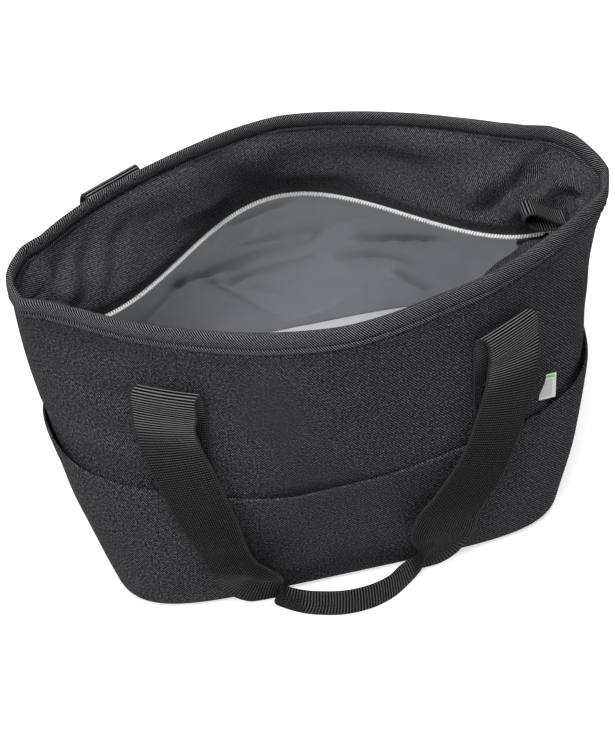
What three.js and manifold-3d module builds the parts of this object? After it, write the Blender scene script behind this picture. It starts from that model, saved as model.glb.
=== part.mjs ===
// An insulated lunch bag with a zip top, standing open, in millimetres with +Z up.
// The origin is on the floor under the middle of the bag. The front faces -Y.

import * as THREE from 'three';
import { mergeVertices } from 'three/addons/utils/BufferGeometryUtils.js';
import Module from 'manifold-3d';

const wasm = await Module();
wasm.setup();

// The body's outer surface: a boxed base that runs up into a lens-shaped rim
const BASE_LENGTH = 253;
const BASE_FRONT = 90.5;
const BASE_BACK = 86.5;
const RIM_LENGTH = 320;
const RIM_FRONT = 69;
const RIM_BACK = 78;
const BAG_HEIGHT = 206;
const END_SWELL = 9;
const FACE_SWELL = 5;

// Thicknesses of the layers, the clearance between two layers, and that of what lies on the shell
const SHELL = 1.0;
const FOAM = 3.6;
const LINING = 0.8;
const BOARD = 1.6;
const CLEAR = 0.3;
const SEAT = 0.7;

// The base edge is rounded, and a narrow lip of each wall turns under the base
const INNER_EDGE_RADIUS = 3;
const LIP = 3;

// The rim hem wraps over the top edge
const HEM = 1.0;
const HEM_DEPTH = 12;
const FOAM_BELOW_HEM = 8;

// The zip: two hanging panels, with tape and coil along their lower edges
const ZIP_PANEL = 0.8;
const ZIP_DROP = 66;
const ZIP_RISE = 10;
const ZIP_SHORT_OF_RIM = 17;
const ZIP_NECK_LENGTH = 15;
const ZIP_NECK = 7.4;
const TAPE = 0.6;
const TAPE_SHOWN = 6;
const TAPE_SEWN = 4;
const COIL = 1.8;
const END_TRACK = 12;

// The slider rides on the zip's closed end, and its pull swings on a bar
const SLIDER_LENGTH = 9;
const SLIDER_WIDTH = 8;
const SLIDER_PLATE = 1.1;
const SLIDER_POST = 1.8;
const PULL_LENGTH = 18;
const PULL_WIDTH = 4;
const PULL_THICKNESS = 1.2;
const PULL_BAR = 1.2;
const RING_WALL = 0.8;
const LUG = 0.9;

// The webbing loop at the zip's right-hand end
const LOOP_LENGTH = 27;
const LOOP_WIDTH = 14;
const LOOP_GAP = 5;
const LOOP_WEB = 1.4;
const LOOP_RISE = 24;
const LOOP_INSET = 3.6;

// The slip pocket across the front
const POCKET_HEIGHT = 92;
const POCKET_CLOTH = 1.2;
const POCKET_GAP = 5.6;

// The two webbing handles
const WEB_WIDTH = 32;
const WEB = 2.2;
const HANDLE_X = 90;
const FOLD_HEIGHT = 161;
const PATCH_LENGTH = 64;
const FOLD_GAP = 0.6;
const GRIP_REACH = 21;
const GRIP_LEAN = 0.3;
const FLOOR_CLEAR = 0.7;

// The small side label beside the right-hand leg of the front handle
const LABEL_WIDTH = 16;
const LABEL_HEIGHT = 19;
const LABEL_LOW = 98;
const LABEL_CLOTH = 0.5;

// Values that follow from the ones above
const COLUMNS = 26;
const BAR_SIDES = 12;
const WALL = SHELL + CLEAR + FOAM + CLEAR + LINING;
const EDGE_RADIUS = WALL + INNER_EDGE_RADIUS;
const LAYER_TOP = BAG_HEIGHT - HEM_DEPTH - FOAM_BELOW_HEM;
const UNDER_HEM = BAG_HEIGHT - HEM - CLEAR;
const COIL_LOW = BAG_HEIGHT - ZIP_DROP;
const ZIP_LENGTH = RIM_LENGTH - 2 * ZIP_SHORT_OF_RIM;
const ZIP_LENS = ZIP_LENGTH - 2 * ZIP_NECK_LENGTH;
const GRIP_WIDTH = (WEB_WIDTH + WEB) / 2;
const GRIP = 2 * WEB + FOLD_GAP;

const lerp = THREE.MathUtils.lerp;
const clamp = THREE.MathUtils.clamp;

// Each side of the bag: which way it faces, and the shape of its base and rim.
// A half section is y = deep (1 - |x / long|^p)^(1 / q).
const FRONT = { sign: -1, base: BASE_FRONT, rim: RIM_FRONT, p: 1.8, q: 1.15 };
const BACK = { sign: 1, base: BASE_BACK, rim: RIM_BACK, p: 1.45, q: 1.6 };
const BASE_P = 4;
const BASE_Q = 8;
const END_MITRE = 1.6;

// Even spacing along a line of [x, y] points, from a trimmed start to a trimmed end
function spread(line, count, from, to) {
  const run = [0];
  for (let i = 1; i < line.length; i += 1) {
    run.push(run[i - 1] + Math.hypot(line[i][0] - line[i - 1][0], line[i][1] - line[i - 1][1]));
  }
  const whole = run[run.length - 1];
  const points = [];
  let k = 1;
  for (let i = 0; i <= count; i += 1) {
    const at = clamp(lerp(from(whole), to(whole), i / count), 0, whole);
    while (k < run.length - 1 && run[k] < at) k += 1;
    const share = (at - run[k - 1]) / (run[k] - run[k - 1] || 1);
    points.push([lerp(line[k - 1][0], line[k][0], share), lerp(line[k - 1][1], line[k][1], share)]);
  }
  return points;
}

// The half section of the outer surface at a height
function section(side, height) {
  const share = clamp(height / BAG_HEIGHT, 0, 1);
  const swell = Math.sin(Math.PI * share);
  const long = lerp(BASE_LENGTH, RIM_LENGTH, share) / 2 + END_SWELL * swell;
  const deep = lerp(side.base, side.rim, share) + FACE_SWELL * swell;
  const p = lerp(side.p, BASE_P, (1 - share) ** 3);
  const q = lerp(side.q, BASE_Q, (1 - share) ** 2.6);
  const line = [];
  const steps = 240;
  for (let i = 0; i <= steps; i += 1) {
    const x = long * Math.sin(lerp(-0.5, 0.5, i / steps) * Math.PI);
    line.push([x, side.sign * deep * Math.max(0, 1 - Math.abs(x / long) ** p) ** (1 / q)]);
  }
  return { long, deep, line, mitre: lerp(1, END_MITRE, share) };
}

// Evenly spaced points of the half section, half a clearance short of each seam and drawn in by an
// inset. All layers share the outer layer's spacing, so their facets stay parallel.
function halfSection(side, height, inset) {
  const { long, deep, line, mitre } = section(side, height);
  const points = spread(line, COLUMNS, () => CLEAR / 2, (whole) => whole - CLEAR / 2);
  return points.map(([x, y]) => [x * (1 - inset * mitre / long), y * (1 - inset / deep)]);
}

// Where the outer surface stands at an x, and how its tangent turns there
function wallAt(side, height, x) {
  const { line } = section(side, height);
  let k = 1;
  while (k < line.length - 1 && line[k][0] < x) k += 1;
  const [a, b] = [line[k - 1], line[k]];
  const share = (x - a[0]) / (b[0] - a[0]);
  return { y: lerp(a[1], b[1], share), turn: Math.atan2(b[1] - a[1], b[0] - a[0]) };
}

// A closed solid from faces given as triples of point numbers, turned outwards by its volume
function solid(points, faces) {
  let volume = 0;
  for (const [i, j, k] of faces) {
    volume += points[i].dot(new THREE.Vector3().crossVectors(points[j], points[k]));
  }
  const order = volume < 0 ? faces.map(([i, j, k]) => [i, k, j]) : faces;
  const geometry = new THREE.BufferGeometry();
  const numbers = points.flatMap((v) => v.toArray());
  geometry.setAttribute('position', new THREE.Float32BufferAttribute(numbers, 3));
  geometry.setIndex(order.flat());
  geometry.computeVertexNormals();
  return geometry;
}

// A solid swept sideways: each point of a flat outline gives one line of points across the piece,
// and the two ends are closed by the outline itself. Every four-cornered patch is split from its
// lower left to its upper right, on both faces of a layer.
function sweep(outline, place) {
  const lines = outline.map(place);
  const across = lines[0].length;
  const around = outline.length;
  const points = lines.flat();
  const at = (i, j) => (i % around) * across + j;
  const faces = [];
  for (let i = 0; i < around; i += 1) {
    const rising = outline[(i + 1) % around][1] > outline[i][1];
    for (let j = 0; j < across - 1; j += 1) {
      const [a, b, c, d] = [at(i, j), at(i + 1, j), at(i + 1, j + 1), at(i, j + 1)];
      faces.push(...(rising ? [[a, b, c], [a, c, d]] : [[a, b, d], [b, c, d]]));
    }
  }
  const flat = outline.map(([u, v]) => new THREE.Vector2(u, v));
  const sense = Math.sign(THREE.ShapeUtils.area(flat));
  for (const [a, b, c] of THREE.ShapeUtils.triangulateShape(flat, [])) {
    const kept = Math.sign(THREE.ShapeUtils.area([flat[a], flat[b], flat[c]])) === sense;
    const [p, q, r] = kept ? [a, b, c] : [a, c, b];
    faces.push([at(p, 0), at(r, 0), at(q, 0)], [at(p, across - 1), at(q, across - 1), at(r, across - 1)]);
  }
  return solid(points, faces);
}

const wallLine = (side) => ([inset, height]) => halfSection(side, height, inset)
  .map(([x, y]) => new THREE.Vector3(x, y, height));

// One wall layer between two depths below the outer surface, from its lip under the base to its top
function wallLayer(side, outer, inner, top) {
  const levels = [0.13, 0.28, 0.44, 0.6, 0.78, 1].map((share) => lerp(EDGE_RADIUS, LAYER_TOP, share));
  if (top > LAYER_TOP) levels.push(top);
  const profile = (depth) => {
    const radius = EDGE_RADIUS - depth;
    const bend = [0, 0.25, 0.5].map((turn) => [
      EDGE_RADIUS - radius * Math.sin(turn * Math.PI), EDGE_RADIUS - radius * Math.cos(turn * Math.PI)]);
    return [[EDGE_RADIUS + LIP, depth], ...bend, ...levels.map((level) => [depth, level])];
  };
  return sweep([...profile(outer), ...profile(inner).reverse()], wallLine(side));
}

// A flat plate of the base, between two heights, that fits inside the lips of the walls
function basePlate(low, high, inset) {
  const front = halfSection(FRONT, low, inset);
  const back = halfSection(BACK, low, inset).reverse();
  const shape = new THREE.Shape([...front, ...back].map(([x, y]) => new THREE.Vector2(x, y)));
  const plate = new THREE.ExtrudeGeometry(shape, { depth: high - low, bevelEnabled: false });
  return plate.translate(0, 0, low);
}

// The hem: an upturned channel over the shell's top edge and the top of the zip panel
function rimHem(side) {
  const inside = SHELL + CLEAR + ZIP_PANEL + CLEAR;
  const foot = BAG_HEIGHT - HEM_DEPTH;
  const crest = BAG_HEIGHT - HEM;
  return sweep([
    [-CLEAR - HEM, foot], [-CLEAR - HEM, crest - HEM], [-CLEAR, BAG_HEIGHT],
    [inside, BAG_HEIGHT], [inside + HEM, crest - HEM], [inside + HEM, foot],
    [inside, foot], [inside, crest], [-CLEAR, crest], [-CLEAR, foot]], wallLine(side));
}

// The zip line seen from above: a narrow neck at each end, and between them a bell that reaches
// almost to the lining at that height
function zipEdge(side, inset, level) {
  const half = ZIP_LENS / 2;
  const end = ZIP_LENGTH / 2 - inset;
  const deepest = Math.abs(wallAt(side, level, 0).y) - WALL - SEAT - COIL / 2 - TAPE / 2 - CLEAR;
  const line = [[-end, side.sign * CLEAR / 2]];
  const steps = 160;
  for (let i = 0; i <= steps; i += 1) {
    const x = lerp(-end, end, i / steps);
    const phase = Math.PI * clamp(x / half, -1, 1);
    const slope = (deepest - ZIP_NECK) * Math.PI / half * Math.sin(phase) / 2;
    const y = lerp(ZIP_NECK, deepest, (1 + Math.cos(phase)) / 2) - inset * Math.hypot(1, slope);
    line.push([x, side.sign * y]);
  }
  line.push([end, side.sign * CLEAR / 2]);
  return spread(line, COLUMNS, () => 0, (whole) => whole);
}

// How far the zip line has risen at an x, towards its ends
const zipRise = (x) => ZIP_RISE * (1 - Math.cos(Math.PI * clamp(2 * x / ZIP_LENS, -1, 1))) / 2;

const zipLine = (side) => ([inset, height]) => zipEdge(side, inset, height)
  .map(([x, y]) => new THREE.Vector3(x, y, height + zipRise(x)));

// The hanging zip panel: under the hem, over the foam's top edge, then down to the zip line
function zipPanel(side) {
  const top = SHELL + CLEAR;
  const turn = WALL + CLEAR;
  const low = COIL_LOW + COIL + CLEAR + TAPE_SHOWN;
  const seam = low + TAPE_SEWN + CLEAR;
  const rows = [
    [top, UNDER_HEM, 0], [top, BAG_HEIGHT - HEM_DEPTH, 0], [turn, LAYER_TOP + CLEAR, 0],
    [turn, lerp(LAYER_TOP, seam, 0.35), 0.35], [turn, lerp(LAYER_TOP, seam, 0.7), 0.72],
    [turn, seam, 1], [turn, low, 1]];
  const face = (depth) => rows.map(([inset, height, share]) => [inset + depth, height, share, depth]);
  return sweep([...face(0), ...face(ZIP_PANEL).reverse()], ([inset, height, share, depth]) => {
    const wall = halfSection(side, height, inset);
    const edge = zipEdge(side, depth, height);
    return wall.map(([x, y], j) => {
      const [u, v] = edge[j];
      return new THREE.Vector3(lerp(x, u, share), lerp(y, v, share), height + share * zipRise(u));
    });
  });
}

// The tape stands along the zip line, behind the foot of the panel that it is sewn to
function zipTape(side) {
  const low = COIL_LOW + COIL + CLEAR;
  const high = low + TAPE_SHOWN + TAPE_SEWN;
  const [outer, inner] = [-CLEAR - TAPE, -CLEAR];
  return sweep([[outer, low], [outer, high], [inner, high], [inner, low]], zipLine(side));
}

// The coil hangs under the tape, as a strip of six sides
function zipCoil(side) {
  const centre = -CLEAR - TAPE / 2;
  const sides = 6;
  const ring = [];
  for (let i = 0; i < sides; i += 1) {
    const turn = (i + 0.5) / sides * 2 * Math.PI;
    ring.push([centre + COIL / 2 * Math.cos(turn), COIL_LOW + COIL / 2 * (1 + Math.sin(turn))]);
  }
  return sweep(ring, zipLine(side));
}

// A patch that lies on the outer surface about an x, between two heights and two depths
function surfacePatch(side, centre, width, low, high, outer, inner, rows) {
  const count = 4;
  const heights = [...Array(rows + 1)].map((_, i) => lerp(low, high, i / rows));
  const place = ([inset, height]) => {
    const turn = wallAt(side, height, centre).turn;
    const line = [];
    for (let j = 0; j <= count; j += 1) {
      const x = centre + lerp(-0.5, 0.5, j / count) * width * Math.cos(turn);
      const at = wallAt(side, height, x);
      line.push(new THREE.Vector3(x - inset * side.sign * -Math.sin(at.turn),
        at.y - inset * side.sign * Math.cos(at.turn), height));
    }
    return line;
  };
  return sweep([...heights.map((z) => [outer, z]), ...heights.map((z) => [inner, z]).reverse()], place);
}

// The pocket panel: seam to seam, close to the shell at its foot and its ends, open at its mouth
function pocketPanel() {
  const low = EDGE_RADIUS;
  const heights = [0, 0.3, 0.6, 0.85, 1].map((share) => lerp(low, POCKET_HEIGHT, share));
  const place = ([depth, height]) => {
    const skin = halfSection(FRONT, height, 0);
    const proud = halfSection(FRONT, height, -1);
    const open = ((height - low) / (POCKET_HEIGHT - low)) ** 0.7;
    return skin.map(([x, y], j) => {
      const fill = 1 - Math.abs(2 * j / COLUMNS - 1) ** 10;
      const off = CLEAR + POCKET_GAP * open * fill + depth;
      return new THREE.Vector3(x + off * (proud[j][0] - x), y + off * (proud[j][1] - y), height);
    });
  };
  return sweep([...heights.map((z) => [POCKET_CLOTH, z]), ...heights.map((z) => [0, z]).reverse()], place);
}

// A flat strip that follows a path of points. Its rows lie along a direction given at each point,
// and a row that leans across the strip is longer, so the strip keeps its width. Width and
// thickness are given at each point too.
function ribbon(path, rows, widths, thicknesses) {
  const points = [];
  const faces = [];
  path.forEach((point, i) => {
    const ahead = path[Math.min(i + 1, path.length - 1)].clone().sub(path[Math.max(i - 1, 0)]).normalize();
    const row = rows[i].clone().normalize();
    const face = new THREE.Vector3().crossVectors(ahead, row).normalize();
    const half = widths[i] / 2 / Math.sqrt(1 - row.dot(ahead) ** 2);
    for (const [u, v] of [[-1, -1], [1, -1], [1, 1], [-1, 1]]) {
      points.push(point.clone().addScaledVector(row, u * half).addScaledVector(face, v * thicknesses[i] / 2));
    }
  });
  for (let i = 0; i < path.length - 1; i += 1) {
    for (let j = 0; j < 4; j += 1) {
      const [a, b] = [4 * i + j, 4 * i + (j + 1) % 4];
      faces.push([a, b, b + 4], [a, b + 4, a + 4]);
    }
  }
  const last = 4 * (path.length - 1);
  faces.push([0, 2, 1], [0, 3, 2], [last, last + 1, last + 2], [last, last + 2, last + 3]);
  return solid(points, faces);
}

// How far the middle of the free handle stands off the shell at its fold
const FOLD_OFF = SEAT + WEB + FOLD_GAP + WEB / 2;

// The free part of a handle. It leaves each fold against its sewn patch and hangs clear of the
// pocket. Its middle is folded in two lengthwise, as a grip, and stands on the floor on the open
// edge of the fold, which leans out. Points run from the left fold to the right one.
function handle(side, clearOfWall) {
  const fold = wallAt(side, FOLD_HEIGHT, HANDLE_X);
  const top = new THREE.Vector3(HANDLE_X - side.sign * FOLD_OFF * Math.sin(fold.turn),
    fold.y + side.sign * FOLD_OFF * Math.cos(fold.turn), FOLD_HEIGHT - CLEAR);
  const along = new THREE.Vector3(Math.cos(fold.turn), Math.sin(fold.turn), 0);
  const stand = GRIP_WIDTH / 2 + FLOOR_CLEAR + GRIP_LEAN * GRIP / 2;
  const middle = lerp(FOLD_HEIGHT, POCKET_HEIGHT, 0.5);
  const half = wallAt(side, middle, HANDLE_X * 0.98);
  const wall = wallAt(side, POCKET_HEIGHT, HANDLE_X * 0.91);
  const mouth = Math.abs(wall.y) + clearOfWall + 1.5 * WEB;
  const reach = side.base + GRIP_REACH;
  const out = (share) => lerp(mouth, reach, share);
  const lean = ({ turn }) => Math.abs(Math.tan(turn));
  // Down the right leg: the place of the strip's middle, the way its width lies, and how far it is folded
  const right = [
    { p: [HANDLE_X * 0.98, Math.abs(half.y) + FOLD_OFF + WEB, middle], w: [1, lean(half), 0], f: 0 },
    { p: [HANDLE_X * 0.91, mouth, POCKET_HEIGHT], w: [1, lean(wall), 0], f: 0 },
    { p: [HANDLE_X * 0.79, out(0.36), POCKET_HEIGHT * 0.62], w: [0.93, 0.1, -0.36], f: 0 },
    { p: [HANDLE_X * 0.64, out(0.42), stand * 3.4], w: [0.8, 0, -0.6], f: 0.3 },
    { p: [HANDLE_X * 0.5, out(0.36), stand * 1.4], w: [0.25, 0, -1], f: 1 },
    { p: [HANDLE_X * 0.35, out(0.62), stand], w: [0, -GRIP_LEAN, -1], f: 1 },
    { p: [HANDLE_X * 0.15, out(0.94), stand], w: [0, -GRIP_LEAN, -1], f: 1 }];
  const place = (mirror) => ({ p: [x, y, z], w: [u, v, w], f }) => ({
    p: new THREE.Vector3(mirror * x, side.sign * y, z),
    w: new THREE.Vector3(mirror * u, -side.sign * v, w),
    f
  });
  const ends = (mirror) => ({
    p: new THREE.Vector3(mirror * top.x, top.y, top.z),
    w: new THREE.Vector3(mirror * along.x, along.y, 0),
    f: 0
  });
  const stations = [ends(-1), ...right.map(place(-1)), ...right.map(place(1)).reverse(), ends(1)];
  const curve = new THREE.CatmullRomCurve3(stations.map((station) => station.p), false, 'centripetal');
  const steps = 64;
  const path = [];
  const rows = [];
  const folds = [];
  for (let i = 0; i <= steps; i += 1) {
    const at = i / steps * (stations.length - 1);
    const k = Math.min(Math.floor(at), stations.length - 2);
    path.push(curve.getPoint(i / steps));
    rows.push(stations[k].w.clone().lerp(stations[k + 1].w, at - k));
    folds.push(lerp(stations[k].f, stations[k + 1].f, at - k));
  }
  return ribbon(path, rows, folds.map((f) => lerp(WEB_WIDTH, GRIP_WIDTH, f)),
    folds.map((f) => lerp(WEB, GRIP, f)));
}

// The zip's closed end: two tapes side by side, split where the slider's post parts them
const COIL_OUT = CLEAR + TAPE / 2 - COIL / 2;
const END_LOW = COIL_LOW + ZIP_RISE;
const END_HALF = ZIP_NECK + COIL_OUT - CLEAR;
const END_FROM = ZIP_LENS / 2 - END_TRACK;
const END_TO = ZIP_LENGTH / 2 + COIL_OUT - 3 * CLEAR;
const END_CUT = 0.88 * END_HALF;
const SLIDER_X = END_TO - END_CUT - SLIDER_LENGTH / 2;

function flatShape(corners) {
  return new THREE.Shape(corners.map(([x, y]) => new THREE.Vector2(x, y)));
}

function zipEnd(split) {
  const slot = SLIDER_POST / 2 + CLEAR;
  const outline = [[END_FROM, -END_HALF], [END_TO - END_CUT, -END_HALF], [END_TO, END_CUT - END_HALF],
    [END_TO, END_HALF - END_CUT], [END_TO - END_CUT, END_HALF], [END_FROM, END_HALF]];
  if (split) {
    outline.push([END_FROM, slot], [SLIDER_X, slot], [SLIDER_X, -slot], [END_FROM, -slot]);
  }
  const strip = new THREE.ExtrudeGeometry(flatShape(outline), { depth: COIL, bevelEnabled: false });
  return strip.translate(0, 0, END_LOW);
}

// Joins closed solids that overlap into one
function join(...parts) {
  const bodies = parts.map((part) => {
    const bare = part.clone();
    bare.deleteAttribute('normal');
    bare.deleteAttribute('uv');
    const merged = mergeVertices(bare, 1e-4);
    return new wasm.Manifold(new wasm.Mesh({
      numProp: 3,
      vertProperties: new Float32Array(merged.attributes.position.array),
      triVerts: new Uint32Array(merged.index.array)
    }));
  });
  const whole = bodies.slice(1).reduce((sum, body) => sum.add(body), bodies[0]).getMesh();
  const geometry = new THREE.BufferGeometry();
  geometry.setAttribute('position', new THREE.BufferAttribute(whole.vertProperties, 3));
  geometry.setIndex(new THREE.BufferAttribute(whole.triVerts, 1));
  geometry.computeVertexNormals();
  return geometry;
}

// The slider: two plates joined by a post through the split, and two lugs that hold the pull's bar
const PLATE_TOP = END_LOW + COIL + CLEAR + SLIDER_PLATE;
const PULL_RING = PULL_BAR / 2 + CLEAR + RING_WALL;
const BAR_HEIGHT = PLATE_TOP + CLEAR + PULL_RING;

function sliderBody() {
  const box = (x, y, z, u, v, w) => new THREE.BoxGeometry(x, y, z).translate(u, v, w);
  const plate = (z) => box(SLIDER_LENGTH, SLIDER_WIDTH, SLIDER_PLATE, SLIDER_X, 0, z);
  const reach = COIL + 2 * CLEAR + SLIDER_PLATE;
  const middle = END_LOW + COIL / 2;
  const post = box(SLIDER_POST, SLIDER_POST, reach, SLIDER_X - CLEAR - SLIDER_POST / 2, 0, middle);
  const lugHeight = BAR_HEIGHT + PULL_BAR - PLATE_TOP + SLIDER_PLATE / 2;
  const lugs = [-1, 1].map((hand) => box(2 * PULL_BAR, LUG, lugHeight, SLIDER_X,
    hand * (PULL_WIDTH / 2 + CLEAR + LUG / 2), PLATE_TOP - SLIDER_PLATE / 2 + lugHeight / 2));
  const span = PULL_WIDTH + 2 * CLEAR + LUG;
  const bar = new THREE.CylinderGeometry(PULL_BAR / 2, PULL_BAR / 2, span, BAR_SIDES)
    .translate(SLIDER_X, 0, BAR_HEIGHT);
  const [under, over] = [END_LOW - CLEAR - SLIDER_PLATE / 2, PLATE_TOP - SLIDER_PLATE / 2];
  return join(plate(under), plate(over), post, ...lugs, bar);
}

// The pull: a ring round the bar, and a flat tongue that lies over the slider towards the middle
function pullTab() {
  const start = Math.asin(PULL_THICKNESS / 2 / PULL_RING);
  const ring = (radius, from, to, count) => [...Array(count)].map((_, i) => {
    const turn = lerp(from, to, i / (count - 1));
    return new THREE.Vector2(radius * Math.cos(turn), radius * Math.sin(turn));
  });
  const outline = new THREE.Shape([...ring(PULL_RING, start - Math.PI, Math.PI - start, BAR_SIDES + 1),
    new THREE.Vector2(-PULL_LENGTH, PULL_THICKNESS / 2), new THREE.Vector2(-PULL_LENGTH, -PULL_THICKNESS / 2)]);
  const last = (2 - 2 / BAR_SIDES) * Math.PI;
  outline.holes.push(new THREE.Path(ring(PULL_BAR / 2 + CLEAR, 0, last, BAR_SIDES)));
  const tab = new THREE.ExtrudeGeometry(outline, { depth: PULL_WIDTH, bevelEnabled: false });
  return tab.rotateX(Math.PI / 2).translate(SLIDER_X, PULL_WIDTH / 2, BAR_HEIGHT);
}

// The webbing loop over the zip's right-hand end, folded in two with its fold towards the middle
function webbingLoop() {
  const radius = (LOOP_GAP + LOOP_WEB) / 2;
  const height = END_LOW + LOOP_RISE;
  const end = ZIP_LENGTH / 2 - LOOP_INSET;
  const path = [new THREE.Vector3(end, -radius, height)];
  for (let i = 0; i <= 8; i += 1) {
    const turn = i / 8 * Math.PI;
    path.push(new THREE.Vector3(end - LOOP_LENGTH + radius - radius * Math.sin(turn),
      -radius * Math.cos(turn), height));
  }
  path.push(new THREE.Vector3(end, radius, height));
  return ribbon(path, path.map(() => new THREE.Vector3(0, 0, 1)), path.map(() => LOOP_WIDTH),
    path.map(() => LOOP_WEB));
}

const meshes = [];

function add(name, geometry, finish) {
  const mesh = new THREE.Mesh(geometry, new THREE.MeshStandardMaterial(finish));
  mesh.name = name;
  meshes.push(mesh);
}

const BLACK_CLOTH = { color: 0x2b2b2e, roughness: 0.85, metalness: 0 };
const BLACK_TAPE = { color: 0x29292b, roughness: 0.8, metalness: 0 };
const WEBBING = { color: 0x252527, roughness: 0.7, metalness: 0 };
const SILVER_FILM = { color: 0x9a9fa3, roughness: 0.35, metalness: 0.1 };
const WHITE_FOAM = { color: 0xe8e8e4, roughness: 0.8, metalness: 0 };
const WHITE_NYLON = { color: 0xf2f2f0, roughness: 0.4, metalness: 0 };
const WHITE_RIBBON = { color: 0xe9ebe6, roughness: 0.6, metalness: 0 };
const BLACK_METAL = { color: 0x1c1c1e, roughness: 0.4, metalness: 0.8 };

const foamFrom = SHELL + CLEAR;
const liningFrom = foamFrom + FOAM + CLEAR;
for (const [word, side] of [['front', FRONT], ['back', BACK]]) {
  add(`${word}_shell`, wallLayer(side, 0, SHELL, UNDER_HEM), BLACK_CLOTH);
  add(`${word}_foam`, wallLayer(side, foamFrom, foamFrom + FOAM, LAYER_TOP), WHITE_FOAM);
  add(`${word}_lining`, wallLayer(side, liningFrom, WALL, LAYER_TOP), SILVER_FILM);
  add(`${word}_rim_hem`, rimHem(side), BLACK_CLOTH);
  add(`${word}_zip_panel`, zipPanel(side), BLACK_CLOTH);
  add(`${word}_zip_tape`, zipTape(side), BLACK_TAPE);
  add(`${word}_zip_coil`, zipCoil(side), WHITE_NYLON);
}

// The base is a stack: outer cloth, foam, stiffener board, lining floor
const seat = EDGE_RADIUS + LIP + CLEAR;
add('base_panel', basePlate(0, SHELL, seat), BLACK_CLOTH);
add('base_foam', basePlate(foamFrom, foamFrom + FOAM - BOARD - CLEAR, seat), WHITE_FOAM);
add('base_board', basePlate(foamFrom + FOAM - BOARD, foamFrom + FOAM, seat), WHITE_FOAM);
add('lining_floor', basePlate(liningFrom, WALL, seat), SILVER_FILM);

add('front_pocket_panel', pocketPanel(), BLACK_CLOTH);

for (const [word, side] of [['front', FRONT], ['back', BACK]]) {
  for (const [hand, mirror] of [['left', -1], ['right', 1]]) {
    add(`${word}_${hand}_handle_patch`, surfacePatch(side, mirror * HANDLE_X, WEB_WIDTH,
      FOLD_HEIGHT - PATCH_LENGTH, FOLD_HEIGHT - CLEAR, -SEAT - WEB, -SEAT, 3), WEBBING);
  }
}
add('front_handle', handle(FRONT, CLEAR + POCKET_GAP + POCKET_CLOTH), WEBBING);
add('back_handle', handle(BACK, SEAT + WEB), WEBBING);

const patchEdge = HANDLE_X + WEB_WIDTH / 2;
add('side_label', surfacePatch(FRONT, patchEdge + CLEAR + LABEL_WIDTH / 2, LABEL_WIDTH,
  LABEL_LOW, LABEL_LOW + LABEL_HEIGHT, -SEAT - LABEL_CLOTH, -SEAT, 2), WHITE_RIBBON);

add('right_zip_end', zipEnd(true), BLACK_TAPE);
add('left_zip_end', zipEnd(false).rotateZ(Math.PI), BLACK_TAPE);

add('zip_slider', sliderBody(), BLACK_METAL);
add('zip_pull', pullTab(), BLACK_METAL);
add('zip_end_loop', webbingLoop(), WEBBING);

export const model = new THREE.Group();
meshes.forEach((mesh) => model.add(mesh));
export default model;
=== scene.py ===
"""An insulated lunch bag with a zip top, standing open on a pale floor. Sizes below are in
millimetres and are written to the meshes in metres."""
import bmesh
import bpy
import math
import numpy as np
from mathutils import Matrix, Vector


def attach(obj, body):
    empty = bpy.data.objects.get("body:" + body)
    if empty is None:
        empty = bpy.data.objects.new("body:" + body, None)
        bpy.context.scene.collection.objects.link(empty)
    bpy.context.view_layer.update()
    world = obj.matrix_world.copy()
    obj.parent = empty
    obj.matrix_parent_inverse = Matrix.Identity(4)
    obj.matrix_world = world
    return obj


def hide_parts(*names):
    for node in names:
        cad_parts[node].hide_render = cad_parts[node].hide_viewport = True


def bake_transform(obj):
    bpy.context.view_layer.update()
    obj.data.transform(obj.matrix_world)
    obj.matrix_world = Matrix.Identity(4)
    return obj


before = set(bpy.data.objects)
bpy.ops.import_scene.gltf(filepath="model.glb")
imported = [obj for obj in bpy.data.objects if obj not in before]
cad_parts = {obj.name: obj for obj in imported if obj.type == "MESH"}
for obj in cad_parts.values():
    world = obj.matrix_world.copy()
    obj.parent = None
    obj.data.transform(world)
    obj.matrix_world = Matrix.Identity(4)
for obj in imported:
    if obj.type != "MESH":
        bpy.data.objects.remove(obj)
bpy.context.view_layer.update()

# Camera, light and floor
# A camera high in front of the bag and a little to its left, under broad soft lamps. The floor is
# white to the camera and sends up only a little light.

AZIMUTH, ELEVATION, CAMERA_DISTANCE = math.radians(-14.1), math.radians(54.0), 1.316
LENS, SENSOR_WIDTH = 116.7, 36
WORLD_LIGHT, FLOOR_LIGHT = 0.09, 0.64
scene = bpy.context.scene
scene.view_settings.view_transform = "Standard"

back = np.array([math.sin(AZIMUTH) * math.cos(ELEVATION), -math.cos(AZIMUTH) * math.cos(ELEVATION),
                 math.sin(ELEVATION)])
right = np.array([math.cos(AZIMUTH), math.sin(AZIMUTH), 0.0])
up = np.cross(back, right)
target = np.array([0.0, 0.0, 0.104]) - 0.00309 * right - 0.01431 * up
camera = bpy.data.objects.new("camera", bpy.data.cameras.new("camera"))
scene.collection.objects.link(camera)
scene.camera = camera
camera.data.lens = LENS
camera.data.sensor_width = SENSOR_WIDTH


def aimed(ob, place, direction):
    """Put a camera or lamp at a place, looking along a direction."""
    ob.location = place
    ob.rotation_mode = "QUATERNION"
    ob.rotation_quaternion = Vector(tuple(direction)).to_track_quat("-Z", "Y")


def lamp(name, place, size, power):
    """A square soft lamp at a place, turned towards the bag."""
    light = bpy.data.lights.new(name, "AREA")
    light.size = size
    light.energy = power
    ob = bpy.data.objects.new(name, light)
    aimed(ob, place, np.subtract((0, 0, 0.1), place))
    scene.collection.objects.link(ob)


aimed(camera, target + CAMERA_DISTANCE * back, -back)
lamp("lamp_above", (-0.16, -0.22, 1.6), 0.8, 24.0)
lamp("lamp_left", (-1.1, -0.6, 1.5), 0.8, 11.0)
lamp("lamp_front", (-0.1, -1.5, 1.3), 0.9, 3.0)


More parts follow.
